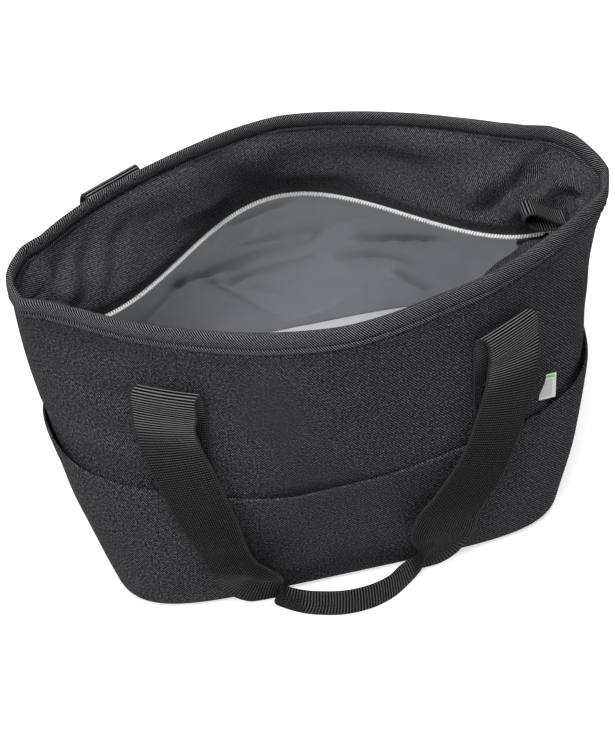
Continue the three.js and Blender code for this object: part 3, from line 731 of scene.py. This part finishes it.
for word, side in SIDES.items():
    inset, height, mix = through(PANEL_STATIONS, np.linspace(0, 1, 64)).T
    share = np.linspace(0, 1, 240)
    wall = outline(side, height, share, inset)
    edge = zip_line(side, 0.2, height, share)
    grid = wall + (edge - wall) * mix[:, None, None]
    normal = facing(grid, side["sign"])
    z = np.broadcast_to(height[:, None], grid.shape[:2])
    push = panel_folds(word, grid[..., 0], z, (UNDER_HEM - z) / PANEL_DROP) * clear_of_ends(share, 0.012)
    # A panel may swell inwards freely, but outwards only as far as the wall leaves room
    room = mix[:, None] * np.linalg.norm(wall - edge, axis=-1) + np.maximum(inset - 1.6, 0)[:, None] * 0.1
    grid = grid - np.maximum(push, -0.2 - 0.7 * room)[..., None] * normal
    ob = slab(f"{word}_zip_flap", grid, grid - 0.8 * normal, cloth_places(grid) * [-1, 1])
    finish(ob, flap_twill, "bag", [f"{word}_zip_panel"])

# Zip tape and coil
# Ribbed tape is sewn along the foot of each panel and carries one half of a white nylon coil.

zip_tape, shader = material("zip_tape")
place = on_cloth(shader)
rib = calc("SINE", times(add("ShaderNodeSeparateXYZ", place), 2 * math.pi / 0.0009))
relief = plus(ramp(rib, 0.4, 0.5), times(noise(place, 1500.0, 2.0), 0.3))
feed(shader, {"Base Color": tinted((0.035, 0.035, 0.037), ramp(relief, 0.9, 0.5)), "Roughness": 0.75,
              "Normal": bump(relief, 0.9, 0.0003)})

white_nylon, shader = material("white_nylon")
cloud = noise(in_object(shader), 400.0, 2.0)
feed(shader, {"Base Color": tinted((0.96, 0.96, 0.96), ramp(cloud, 0.1, 0.95)),
              "Roughness": ramp(cloud, 0.2, 0.25), "Subsurface Weight": 0.1, "Subsurface Scale": 0.001})

COIL_PITCH = 1.6


def coil(name, path, radii, wire_radius, sides=5, steps=10):
    """A wire wound round a path: path + a cos(t) n + b sin(t) z, one turn each pitch."""
    run = travel(path)
    at = np.linspace(0, run[-1], int(run[-1] / COIL_PITCH) * steps)
    base = spots(path, run, at)
    ahead = unit(np.gradient(base, axis=0))
    beside = unit(np.cross(ahead, [0, 0, 1.0]))
    over = np.cross(beside, ahead)
    turn = 2 * np.pi * at[:, None] / COIL_PITCH
    core = base + radii[0] * np.cos(turn) * beside + radii[1] * np.sin(turn) * over
    tangent = unit(np.gradient(core, axis=0))
    first = unit(np.cross(tangent, ahead))
    second = np.cross(tangent, first)
    angle = np.linspace(0, 2 * np.pi, sides + 1)[:-1, None, None]
    return bare_tube(name, core + wire_radius * (np.cos(angle) * first + np.sin(angle) * second))


for word, side in SIDES.items():
    outer, inner = (zip_line(side, inset, [141.9, 143.5, 146, 149, 152.1], np.linspace(0, 1, 320))
                    for inset in (-0.3, -0.9))
    ob = slab(f"{word}_tape_strip", outer, inner, cloth_places(outer))
    finish(ob, zip_tape, "bag", [f"{word}_zip_tape"])
    path = zip_line(side, 0.9, [141.2], np.linspace(0.03, 0.97, 900))[0]
    ob = coil(f"{word}_coil_wire", path, (0.75, 0.95), 0.55)
    finish(ob, white_nylon, "bag", [f"{word}_zip_coil"])

# Zip ends
# At each end the two tapes lie side by side, closed by the coil, in the gap between the panels.
# On the right they part as far as the slider's post.

END_FROM, POST_X, END_TO, END_HALF, END_HEIGHT, TAPE_THICK = 116, 131.0, 141.8, 6.8, 151.1, 0.7
END_COIL_HEIGHT = 150.9
# For each hand: the half slot between the tapes, and the coils' stretches and places beside the middle
ZIP_ENDS = dict(right=(1, 1.25, ((117, 126, 2.3), (136.4, 140.6, 0.6))), left=(-1, 0.0, ((119, 140.6, 0.9),)))


def merged(parts):
    """Points and faces of several pieces as one: later faces count on from the earlier points."""
    starts = np.cumsum([0] + [len(points) for points, _ in parts])
    return (np.concatenate([points for points, _ in parts]),
            np.concatenate([faces + start for (_, faces), start in zip(parts, starts)]))


def end_strip(name, hand, slot):
    """A flat tape in two halves, with a pointed end: half width 6.8 min(1, (141.8 - x) / 6)."""
    x = np.concatenate([np.linspace(END_FROM, 135.6, 40), np.linspace(135.8, END_TO, 24)])
    half = END_HALF * np.minimum(1, (END_TO - x) / 6 * 0.88 + 0.12)
    gap = np.where(x < POST_X, slot, 0.0)
    away = gap[:, None] + (half - gap)[:, None] * np.linspace(0, 1, 14)
    halves = []
    for flank in (-1, 1):
        height = END_HEIGHT + 0.25 * np.sin(np.pi * away / END_HALF)
        grid = np.stack([hand * np.broadcast_to(x[:, None], away.shape), flank * away, height], -1)
        halves.append(closed_sheet(grid, grid - [0, 0, TAPE_THICK]))
    points, faces = merged(halves)
    return make(name, points, faces, points[:, :2] * 0.001)


for word, (hand, slot, coils) in ZIP_ENDS.items():
    finish(end_strip(f"{word}_zip_closed_end", hand, slot), zip_tape, "bag", [f"{word}_zip_end"])
    for row, (low, high, off) in enumerate(coils):
        for flank, flank_word in ((-1, "front"), (1, "back")):
            x = hand * np.linspace(low, high, 60)
            path = np.stack([x, np.full(60, flank * off), np.full(60, END_COIL_HEIGHT)], -1)
            ob = coil(f"{word}_end_coil_{row}_{flank_word}", path, (0.75, 0.6), 0.3)
            finish(ob, white_nylon, "bag")

# Slider and pull
# The slider is a die-cast body with two rounded plates, a post and two lugs; its pull swings on
# the bar between the lugs. Both are coated dark.

SLIDER_X, BAR_HEIGHT, BAR_RADIUS = 131.3, 155.2, 0.6
dark_metal, shader = material("dark_metal")
worn = noise(in_object(shader), 500.0, 4.0, 0.7)
feed(shader, {"Base Color": tinted((0.05, 0.05, 0.053), ramp(worn, 0.9, 0.6)), "Metallic": 0.85,
              "Roughness": ramp(worn, 0.3, 0.22), "Normal": bump(worn, 0.25, 0.0002)})


def power(value, exponent):
    """A value's size raised to a power, with its sign."""
    return np.sign(value) * np.abs(value) ** exponent


def pebble(centre, size, plan=0.45, edge=0.25, count=(20, 40)):
    """Points and faces of a rounded block: x = a c(v) c(u), y = b c(v) s(u), z = h s(v), where
    c and s are cosine and sine raised to a power below 1."""
    v = np.linspace(-np.pi / 2, np.pi / 2, count[0])[:, None]
    u = np.linspace(0, 2 * np.pi, count[1] + 1)[None, :-1]
    x = size[0] / 2 * power(np.cos(v), edge) * power(np.cos(u), plan)
    y = size[1] / 2 * power(np.cos(v), edge) * power(np.sin(u), plan)
    z = size[2] / 2 * power(np.sin(v), edge) + 0 * u
    number = np.arange(x.size).reshape(count)
    return np.stack([x, y, z], -1).reshape(-1, 3) + centre, patches(np.hstack([number, number[:, :1]]))


def blocks(name, parts):
    """Several rounded blocks in one mesh, with doubled points at their poles merged."""
    ob = make(name, *merged(parts), crease=40)
    mesh = bmesh.new()
    mesh.from_mesh(ob.data)
    bmesh.ops.remove_doubles(mesh, verts=mesh.verts, dist=2e-6)
    mesh.to_mesh(ob.data)
    mesh.free()
    return ob


plates = [pebble((SLIDER_X, 0, height), (9, 8, 1.1)) for height in (149.15, 152.65)]
post = pebble((SLIDER_X - 1.2, 0, 150.9), (1.8, 1.8, 3.4), 1, 0.2)
lugs = [pebble((SLIDER_X, y, 154.6), (2.4, 0.9, 3.6), 0.5, 0.45) for y in (2.75, -2.75)]
finish(blocks("slider_body", plates + [post] + lugs), dark_metal, "zip_slider", ["zip_slider"])
turn = np.linspace(0, 2 * np.pi, 17)[:-1, None]
bar = np.stack(np.broadcast_arrays(SLIDER_X + BAR_RADIUS * np.cos(turn), np.linspace(-2.9, 2.9, 9),
                                   BAR_HEIGHT + BAR_RADIUS * np.sin(turn)), -1)
finish(bare_tube("slider_bar", bar), dark_metal, "zip_slider")

# The pull: a tongue with a rounded tip and a hollow on both faces, s along it and t across
s, t = np.meshgrid(np.linspace(-1, 1, 60), np.linspace(-1, 1, 22), indexing="ij")
x = SLIDER_X - 1.5 - 8.2 * (s + 1)
rounding = (1 - np.clip((s - 0.82) / 0.18, 0, 1) ** 2) ** 0.5
y = t * 2 * (0.62 + 0.38 * step(s, -1, -0.6)) * np.maximum(rounding, 0.12)
rise = 0.6 * (1 - np.abs(t) ** 6) ** 0.5 * (1 - np.abs(s) ** 30) ** 0.5
rise = rise - 0.22 * step(1 - np.abs(s - 0.1) / 0.75, 0, 0.25) * step(1 - np.abs(t) / 0.8, 0, 0.35)
over, under = (np.stack([x, y, BAR_HEIGHT + way * rise], -1) for way in (1, -1))
pull_tongue = slab("pull_tongue", over, under, over[..., :2] * 0.001)
finish(pull_tongue, dark_metal, "zip_pull", ["zip_pull"])
angle = np.linspace(0, 2 * np.pi, 33)
turn = np.linspace(0, 2 * np.pi, 13)[:-1, None]
reach = 1.3 + 0.4 * np.cos(turn)
ring = np.stack(np.broadcast_arrays(SLIDER_X + reach * np.cos(angle), 1.6 * np.sin(turn),
                                    BAR_HEIGHT + reach * np.sin(angle)), -1)
finish(bare_tube("pull_ring", ring), dark_metal, "zip_pull")

# Webbing
# Polypropylene webbing makes the loop, the sewn strips and the handles. It is woven in lengthwise
# cords, crossed by the weft, with a smooth edge on both sides.

WEFT_PITCH, CORD_PITCH, SMOOTH_EDGE = 0.0016, 0.0013, 0.0004
web, given, result = group("webbing_weave", **{"Weft And Glint": 0.5, "Half Width": 0.016})


def blend(share, first, second):
    """The first number at share 0, the second at share 1."""
    return add("ShaderNodeMix", share, first, second, data_type="FLOAT", into=[0, 2, 3])


across = add("ShaderNodeSeparateXYZ", given["Place"])
column = calc("DIVIDE", across, CORD_PITCH)
cord = calc("ABSOLUTE", calc("SINE", times(column, math.pi)))
beat = times(across.node.outputs[1], math.pi / WEFT_PITCH)
float_over = calc("ABSOLUTE", calc("SINE", plus(beat, times(calc("FLOOR", column), math.pi / 2))))
straight = calc("ABSOLUTE", calc("SINE", beat))
edge = calc("SUBTRACT", calc("ABSOLUTE", across), calc("SUBTRACT", given["Half Width"], SMOOTH_EDGE))
edge = add("ShaderNodeMapRange", edge, -0.0001, 0.0002, 0.0, 1.0)
fuzz = noise(given["Place"], 1500.0, 2.0)
woven = blend(given["Weft And Glint"], times(cord, ramp(float_over, 0.5, 0.5)), straight)
woven = plus(blend(edge, woven, 0.8), times(calc("SUBTRACT", fuzz, 0.5), 0.45))
# Painted glints: the weft's lines are coloured many times brighter where the weft share is high
weft_glints = times(calc("POWER", straight, 6.0), ramp(fuzz, 16.0, 16.0))
# Painted highlight: the cords' crests are coloured up to eight times brighter than their hollows
dots = times(calc("POWER", calc("MAXIMUM", woven, 0.0), 3.6), 8.0)
# Painted highlight along both smooth edges: they are coloured a steady three times the base
tone = blend(edge, blend(calc("POWER", given["Weft And Glint"], 2.0), dots, weft_glints), 3.0)
feed(result, {"Height": woven, "Tone And Highlight": plus(tone, 0.1)})


def webbing_finish(name, half_width):
    """Black webbing: cords and weft in relief, with painted glints and highlight in their colour, and the
    weft's share, which also sets the glints, taken from the mesh.
    """
    made, shader = material(name)
    place = on_cloth(shader)
    weft_and_glint = add("ShaderNodeAttribute", tree=made.node_tree, attribute_name="weft_and_glint", out=2)
    weave = add("ShaderNodeGroup", place, weft_and_glint, half_width, node_tree=web).node.outputs
    feed(shader, {"Base Color": tinted((0.0088, 0.0088, 0.0091), weave["Tone And Highlight"]),
                  "Roughness": ramp(weave["Height"], -0.2, 0.72), "Specular IOR Level": 0.03,
                  "Normal": bump(weave["Height"], 1.0, 0.0006)})
    return made


wide_webbing = webbing_finish("wide_webbing", 0.016)
loop_webbing = webbing_finish("loop_webbing", 0.005)


def strap(name, sheet, thickness, weft_and_glint, half_width=16.0):
    """Webbing about a mid sheet of points (path by across): both faces stand half the thickness
    off it, and its two edges are rounded."""
    half = thickness / 2
    lift = half * facing(sheet)
    bends = np.array([-0.92, -0.5, 0.0, 0.5, 0.92])[:, None, None]
    bulge = half * (1 - bends ** 2) ** 0.5
    right_edge, left_edge = (
        sheet[:, k] + way * bends * lift[:, k] + bulge * unit(sheet[:, k] - sheet[:, within])
        for k, within, way in ((-1, -2, -1), (0, 1, 1)))
    over, under = (side.transpose(1, 0, 2) for side in (sheet + lift, (sheet - lift)[:, ::-1]))
    grid = np.concatenate([over, right_edge, under, left_edge])
    spread = np.linspace(-half_width, half_width, sheet.shape[1])
    girth = np.concatenate([spread, np.full(5, half_width), spread[::-1], np.full(5, -half_width)])
    run = travel(sheet[:, sheet.shape[1] // 2])
    ob = tube(name, grid, np.stack(np.broadcast_arrays(girth[:, None], run), -1) * 0.001)
    weft_and_glint = np.broadcast_to(weft_and_glint, sheet.shape[:2]).T
    values = np.concatenate([weft_and_glint, np.repeat(weft_and_glint[-1:], 5, 0), weft_and_glint[::-1], np.repeat(weft_and_glint[:1], 5, 0)])
    attribute = ob.data.attributes.new("weft_and_glint", "FLOAT", "POINT")
    attribute.data.foreach_set("value", np.append(values, values[0, [0, -1]]).astype(np.float32))
    return ob


# Zip end loop
# A short loop of webbing is sewn over the right-hand end of the zip. It stands up from the gathered
# cloth with its fold to the middle.

# The loop's line, as x and z
LOOP = [(139.4, 169.6), (135, 171.6), (129.5, 175.6), (124, 180.6), (120.4, 183.4), (117.2, 184),
        (115.2, 181.8), (115.2, 178), (117.4, 173.8), (121.4, 170.2), (127, 168), (133, 167.4),
        (139.4, 167.4)]
spine = through(LOOP, np.linspace(0, 1, 90))
sheet = np.stack(np.broadcast_arrays(spine[:, :1], np.linspace(-4.4, 5.6, 12), spine[:, 1:]), -1)
# The loop's weft share of 0.9 also gives it strong painted glints
finish(strap("zip_loop_webbing", sheet, 1.4, 0.9, 5.0), loop_webbing, "bag", ["zip_end_loop"])

# Front pocket
# A slip pocket of the same twill runs from seam to seam. Its mouth is hemmed, and it stands a
# little open towards both ends.

POCKET_HEIGHT, POCKET_CLOTH, POCKET_HEM = 92, 1.2, 81.0
# Along the mouth: x, the height of its edge, and how far it stands open
MOUTH = np.array([(-157, 98, 1.2), (-151, 100, 2.4), (-142, 100, 2.6), (-133, 99.5, 1.6), (-124, 99.5, 0.5),
                  (-105, 99, 0.2), (-85, 96.5, 0.2), (-70, 93.5, 0.3), (-50, 92, 1.2), (-30, 92, 3.0),
                  (-7, 92, 2.2), (15, 92.5, 1.6), (38, 93, 0.6), (61, 95.5, 0.2), (80, 95.5, 0.2),
                  (100, 93.5, 0.4), (111, 92.5, 0.6), (122, 92, 1.2), (133, 92, 2.6), (143, 92, 2.8),
                  (151, 93, 1.6), (157, 93, 0.8)])
turn = np.linspace(0.32, 1, 7)[:-1] * np.pi / 2
climb = np.append(np.linspace(EDGE_RADIUS, POCKET_HEIGHT - 1.6, 60), POCKET_HEIGHT - np.array([0.9, 0.3, 0]))
height = np.concatenate([EDGE_RADIUS - EDGE_RADIUS * np.cos(turn), climb])
inset = np.concatenate([EDGE_RADIUS - EDGE_RADIUS * np.sin(turn), np.zeros(len(climb))])
share = np.linspace(0.001, 0.999, 260)
skin = outline(FRONT, height, share, inset)
normal = facing(skin)
x, z = skin[..., 0], skin[..., 2]
height = height[:, None]
free = np.clip((height - 20) / (POCKET_HEIGHT - 20), 0, 1) ** 1.3
sewn = 1 - np.abs(2 * share - 1) ** 40
mouth = np.interp(x, MOUTH[:, 0], MOUTH[:, 2])
ripple = 0.4 * wander(x, z * 0.4, 34, 81) + 0.25 * wander(x, z, 12, 82)
soft = 0.7 * wander(x, z, 40, 83) * step(height, 12, 30)
off = 0.35 + (np.maximum((mouth + ripple) * free, 0.0) + np.maximum(soft, -0.2)) * sewn
off = off + np.maximum(puckers(FRONT, x, z), 0) * step(height, 40, 80)
off = off + hill(x, 128, 9) * hill(z, 60, 26) * sewn
hem = 0.25 * step(height, POCKET_HEM - 0.5, POCKET_HEM + 0.5) - 0.3 * hill(height, POCKET_HEM, 0.9)
hem[-3:, 0] -= [0.25, 0.65, 1.0]
outer, inner = (skin + gap[..., None] * normal for gap in (off + POCKET_CLOTH + hem, off))
rise = (np.interp(x, MOUTH[:, 0], MOUTH[:, 1]) - POCKET_HEIGHT) * np.clip(height / POCKET_HEIGHT, 0, 1) ** 2
outer[..., 2] += rise
inner[..., 2] += rise
ob = slab("pocket_front", outer, inner, cloth_places(outer), crease=70)
finish(ob, black_twill, "bag", ["front_pocket_panel"])
run = travel(outer[-10])
at = np.arange(4, run[-1] - 4, 3.4)
k = np.argmin(np.abs(height - POCKET_HEM))
middle, out = spots(outer[k], run, at), spots(normal[k], run, at)
ahead = spots(outer[k], run, at + 1) - middle
stitches("pocket_hem_stitches", middle + 0.1 * out, ahead, out, 2.4)

# Sewn strips and folds
# Each handle end is sewn flat to the wall. Above the stitching the webbing stands off, turns over
# and comes down outside its own sewn end.

WEBBING_THICK, SEWN_OFF, SEWN_ROWS, BOX_HALF, BOX_LOW, BOX_HIGH = 1.6, 1.8, 36, 12.5, 100, 134
# Each route has stand-offs from the wall and heights, from the sewn end up and over the fold
SNUG = [(SEWN_OFF, 97), (SEWN_OFF, 112), (SEWN_OFF, 128), (SEWN_OFF, 143), (1.9, 155), (2.9, 163.5),
        (5.0, 167.6), (7.4, 166.4), (8.7, 161.5), (9.0, 155)]
WIDE = [(SEWN_OFF, 97), (SEWN_OFF, 112), (SEWN_OFF, 126), (2.2, 140), (4.6, 153), (9.5, 166), (17.0, 175.6),
        (23.4, 176.4), (25.0, 166), (21.5, 150)]
# The route of each handle end, the middle of its sewn strip, and how far the fold leans outwards
HANDLE_ENDS = {("front", "left"): (SNUG, 88, 3.2), ("front", "right"): (SNUG, 84, 4.7),
               ("back", "left"): (WIDE, 94, -9), ("back", "right"): (SNUG, 90, 4)}


def on_wall(side, x, z, off):
    """Points at x and z that stand off a wall: y = sign deep (1 - |x / long|^p)^(1 / q), moved
    along the level normal."""
    long, deep, p, q = section(side, z)
    before, y, after = (side["sign"] * deep * np.maximum(1e-6, 1 - np.abs(u / long) ** p) ** (1 / q)
                        for u in (x - 0.5, x, x + 0.5))
    normal = unit(np.stack([before - after, np.ones_like(y), 0 * y], -1) * side["sign"])
    return np.stack([x, y, z + 0 * x], -1) + (off + puckers(side, x, z))[..., None] * normal


def handle_end(side, hand, route, middle, lean):
    """The mid sheet of a handle's end, along a route of (stand-off, height) points. Its rows lie
    along the wall, from the edge inside the handle to the outside one, and lean outwards."""
    off, z = (column[:, None] + np.zeros(17) for column in through(route, np.linspace(0, 1, 110)).T)
    x = hand * (middle + 14.7 * np.linspace(-1, 1, 17) + lean * step(off, 3, 9))
    return on_wall(side, x, z, off)


def crossed_box():
    """Places of stitches round a box and along its diagonals, about the strip's middle line."""
    left, right, low, high = -BOX_HALF, BOX_HALF, BOX_LOW, BOX_HIGH
    corners = np.array([[left, low], [left, high], [right, high], [right, low]])
    rows = ((0, 1, 12), (1, 2, 9), (2, 3, 12), (3, 0, 9), (0, 2, 14), (3, 1, 14))
    return np.concatenate([np.linspace(corners[a], corners[b], count) for a, b, count in rows]).T


folds = {}
for (word, hand_word), (route, strip_middle, lean) in HANDLE_ENDS.items():
    side, hand = SIDES[word], -1 if hand_word == "left" else 1
    sheet = folds[word, hand_word] = handle_end(side, hand, route, strip_middle, lean)
    rise = np.linspace(0, 1, len(sheet))[:, None]
    # The weft share, which also sets the painted glints, rises towards the fold
    ob = strap(f"{word}_{hand_word}_handle_end", sheet, WEBBING_THICK, 0.35 + 0.65 * step(rise, 0.3, 0.5))
    ob.data.materials.append(wide_webbing)
    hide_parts(f"{word}_{hand_word}_handle_patch")

    # The direction square to the sewn length, pointing away from the wall, is worked out; nothing uses it
    sewn = sheet[:SEWN_ROWS].reshape(-1, 3)
    centre = sewn.mean(axis=0)
    away = np.linalg.svd(sewn - centre, full_matrices=False)[2][2]
    away = away * np.sign(away[1] * side["sign"])
    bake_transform(ob)

    # The sewn end is held by a box of stitches with a cross in it
    u, v = crossed_box()
    proud = np.full(len(u), SEWN_OFF + WEBBING_THICK / 2 + 0.1)
    x = hand * (strip_middle + u)
    middle = on_wall(side, x, v, proud)
    ahead = on_wall(side, x + 0.3 * hand * np.gradient(u), v + 0.3 * np.gradient(v), proud) - middle
    out = on_wall(side, x, v, proud + 1) - middle
    stitches(f"{word}_{hand_word}_handle_stitches", middle, ahead, out, 2.3)

# Handles
# The free webbing hangs down the wall. For the grip it is folded in two lengthwise, fold up, and
# stands on the floor; it opens out again with a twist at each side.


def rung(inner, outer, bow=0.6):
    """Five points across the strap between its two edges, the middle ones pushed out to the front."""
    share = np.linspace(0, 1, 5)[:, None]
    return np.array(inner) * (1 - share) + np.array(outer) * share - [0, bow, 0] * (1 - (2 * share - 1) ** 2)


LEFT_LEG = [
    rung((-81.2, -71.6, 147.0), (-110.2, -58.6, 142.5)), rung((-79.3, -76.0, 136.5), (-108.0, -65.4, 127.0)),
    rung((-76.0, -80.3, 126.3), (-105.0, -71.6, 115.5)), rung((-72.9, -84.3, 115.9), (-102.0, -76.2, 105.0)),
    rung((-70.0, -88.3, 105.0), (-98.8, -79.5, 94.5)), rung((-67.0, -92.0, 93.5), (-95.4, -82.4, 83.5)),
    rung((-64.2, -96.0, 80.5), (-91.6, -85.4, 72.0)), rung((-61.8, -99.6, 68.0), (-87.8, -87.6, 62.0)),
    rung((-58.6, -102.2, 58.6), (-84.0, -90.4, 52.0)),
    [(-55, -103.6, 54), (-61.4, -103.4, 50.4), (-68.4, -101.2, 46.4), (-75, -97.4, 43), (-80.8, -93.6, 41.5)],
    [(-51.5, -105, 51.2), (-58, -105.6, 45.3), (-63.5, -98.4, 37), (-70.6, -96.6, 32.5),
     (-76.4, -94.8, 28.5)],
    [(-48.3, -106.2, 48), (-54.5, -105.8, 42), (-58.5, -95, 31), (-65, -94, 20), (-69.4, -93.8, 12.5)],
    [(-45.6, -106.4, 43.6), (-50, -105, 39), (-53, -93.8, 25.5), (-57.5, -93.4, 13), (-60.5, -93.6, 3.2)],
    [(-43.6, -103.6, 35), (-45.8, -102, 34.6), (-48, -94.4, 21.5), (-50.4, -93.3, 10.8), (-52.5, -93.8, 1.8)],
    [(-43.3, -100.5, 20), (-42.7, -101.3, 25), (-43, -95.6, 19.2), (-44.8, -93.6, 9.4), (-46, -94, 1.6)],
    [(-46.4, -97.8, 3), (-42.4, -100.6, 11.8), (-39.5, -99.4, 17.6), (-39.9, -95.2, 9), (-40.8, -95.4, 1.5)],
    [(-41, -102.3, 1.5), (-38.3, -103.8, 9.5), (-36, -102, 17.3), (-35, -98, 9), (-35, -98.6, 1.5)]]
GRIP = [
    [(-29, -108.9, 1.4), (-27, -108.6, 9.3), (-26, -106, 17.2), (-25, -102.8, 9), (-25.5, -103.5, 1.4)],
    [(-11, -113.7, 1.4), (-10.3, -112.4, 9.2), (-10, -109.6, 17.2), (-9.5, -107, 9), (-9.5, -108.5, 1.4)],
    [(5.5, -113.5, 1.4), (5.3, -112.4, 9.2), (5, -109.6, 17.2), (4.5, -107, 9), (4.5, -108.5, 1.4)],
    [(18.6, -109.8, 1.4), (18.2, -108.8, 9.2), (17.5, -106.5, 17.2), (16.5, -103.8, 9), (16.5, -105, 1.4)]]
RIGHT_LEG = [
    [(28.6, -104, 1.4), (27.2, -104, 9.5), (25.5, -101.8, 17.4), (25, -98.5, 9), (25.3, -99.5, 1.4)],
    [(37.3, -97.6, 1.6), (35, -100.4, 10), (32.6, -98.5, 18), (33, -95.6, 9.5), (34, -95.8, 1.5)],
    [(39.5, -97, 10), (38.5, -100.6, 17), (39, -97.6, 21), (41, -95.5, 11), (43, -95.4, 1.8)],
    [(36.3, -98.6, 25), (39.5, -101.4, 27), (44.5, -98.4, 25.5), (48, -96.3, 15), (51.5, -95.6, 4)],
    [(33, -99.8, 37), (37.5, -101.4, 36.5), (45, -99.4, 33), (52.5, -97.8, 25.5), (59.3, -97.6, 15)],
    [(31, -100.4, 49), (37.5, -102, 46.5), (46.5, -101, 42), (56.5, -99.4, 37), (66.5, -98, 31.5)],
    rung((33.8, -101.2, 65.5), (68.0, -98.8, 47.5)), rung((42.6, -98.2, 75.2), (70.2, -98.8, 59.0)),
    rung((51.2, -95.0, 86.6), (78.2, -95.4, 70.4)), rung((57.8, -92.0, 97.6), (85.5, -90.4, 82.0)),
    rung((62.7, -88.9, 106.9), (90.7, -85.2, 92.4)), rung((66.4, -85.6, 115.9), (95.0, -81.2, 102.6)),
    rung((69.9, -82.1, 124.8), (99.0, -77.2, 112.4)), rung((73.3, -78.4, 133.5), (102.9, -72.6, 123.0)),
    rung((75.6, -74.8, 142.3), (105.6, -67.4, 134.4)), rung((77.2, -71.4, 150.5), (107.2, -61.4, 146.5))]


def handle_sheet(word):
    """The mid sheet of a handle, left fold to right fold: a smooth net through rows of five
    points. The rear handle is the front one turned about, and it hangs closer to its wall."""
    rows = np.array(LEFT_LEG + GRIP + RIGHT_LEG, float)
    if word == "back":
        rows = rows[-3::-1] * [-1, -1, 1]
        rows[..., 1] -= 6.0 * (1 - step(rows[..., 2], 70, 110))
    first, last = (folds[word, hand_word][-1, ::4] for hand_word in ("left", "right"))
    rows = np.concatenate([first[None], rows, last[None]])
    run = travel(rows[:, 2]) + travel(rows[:, 0])
    sheet = through(rows, np.interp(np.linspace(0, run[-1], 330), run, np.linspace(0, 1, len(rows))))
    return through(sheet.transpose(1, 0, 2), np.linspace(0, 1, 33)).transpose(1, 0, 2)


for word in SIDES:
    sheet = handle_sheet(word)
    u = np.linspace(0, 1, sheet.shape[1])[None]
    x, z = sheet[..., 0], sheet[..., 2]
    # The weft shows where the webbing bends: at the folds, in the grip and at both twists. The same share
    # sets the painted glints, strongest on the folds, whose tops face the lamps
    weft_and_glint = 0.55 * step(z, 132, 150) + 0.25 * step(z, 100, 140) + 0.25 * step(z, 55, 110)
    weft_and_glint = np.maximum(weft_and_glint, 0.62 * step(36 - np.abs(x), 0, 6) * step(30 - z, 0, 8))
    weft_and_glint = np.maximum(weft_and_glint, 0.5 * step(44 - z, 0, 10) * step(u, 0.2, 0.45) * (x < 0))
    weft_and_glint = np.maximum(weft_and_glint, 0.5 * step(34 - z, 0, 10) * step(u, 0.7, 0.95) * (x > 0))
    ob = strap(f"{word}_handle_webbing", sheet, WEBBING_THICK, np.clip(weft_and_glint, 0, 1))
    finish(ob, wide_webbing, f"{word}_handle", [f"{word}_handle"])

# Side label
# A small white woven label is sewn beside the right-hand leg. It has a green stripe and a grey panel.

LABEL_CORNERS = [(103.5, -66.0, 100.6), (120.5, -63.2, 97.0), (108.2, -59.6, 112.8), (121.6, -57.6, 111.4)]
u, v = np.meshgrid(np.linspace(0, 1, 28), np.linspace(0, 1, 30))
sheet = np.stack([(1 - u) * (1 - v), u * (1 - v), (1 - u) * v, u * v], -1) @ np.array(LABEL_CORNERS)
normal = facing(sheet)
normal = normal * np.sign(-normal[..., 1:2])
sheet = sheet + (0.35 * np.sin(2.6 * u + 4 * v) + 0.5 * np.sin(np.pi * v) * u)[..., None] * normal
ob = slab("label_cloth", sheet + 0.25 * normal, sheet - 0.25 * normal, np.stack([u, v], -1))


def between(value, low, high):
    """1 where a value lies between two limits, 0 elsewhere."""
    return times(calc("GREATER_THAN", value, low), calc("LESS_THAN", value, high))


label_cloth, shader = material("label_cloth")
across = add("ShaderNodeSeparateXYZ", on_cloth(shader))
upward = across.node.outputs[1]
relief = plus(*(times(calc("SINE", times(way, 2 * math.pi * count)), 0.3)
                for way, count in ((upward, 62), (across, 50))))
panel = times(between(across, 0.1, 0.86), between(upward, 0.1, 0.8))
stripe = times(between(upward, 0.86, 0.96), between(across, 0.36, 0.93))
colour = (0.83, 0.84, 0.83, 1)
for mask, inside in ((panel, (0.62, 0.64, 0.64, 1)), (stripe, (0.16, 0.62, 0.2, 1))):
    colour = add("ShaderNodeMix", mask, colour, inside, data_type="RGBA", into=[0, 6, 7], out=2)
feed(shader, {"Base Color": tinted(colour, ramp(relief, 0.12, 1.0)), "Roughness": ramp(relief, 0.1, 0.6),
              "Normal": bump(relief, 0.6, 0.0001)})
finish(ob, label_cloth, "bag", ["side_label"])
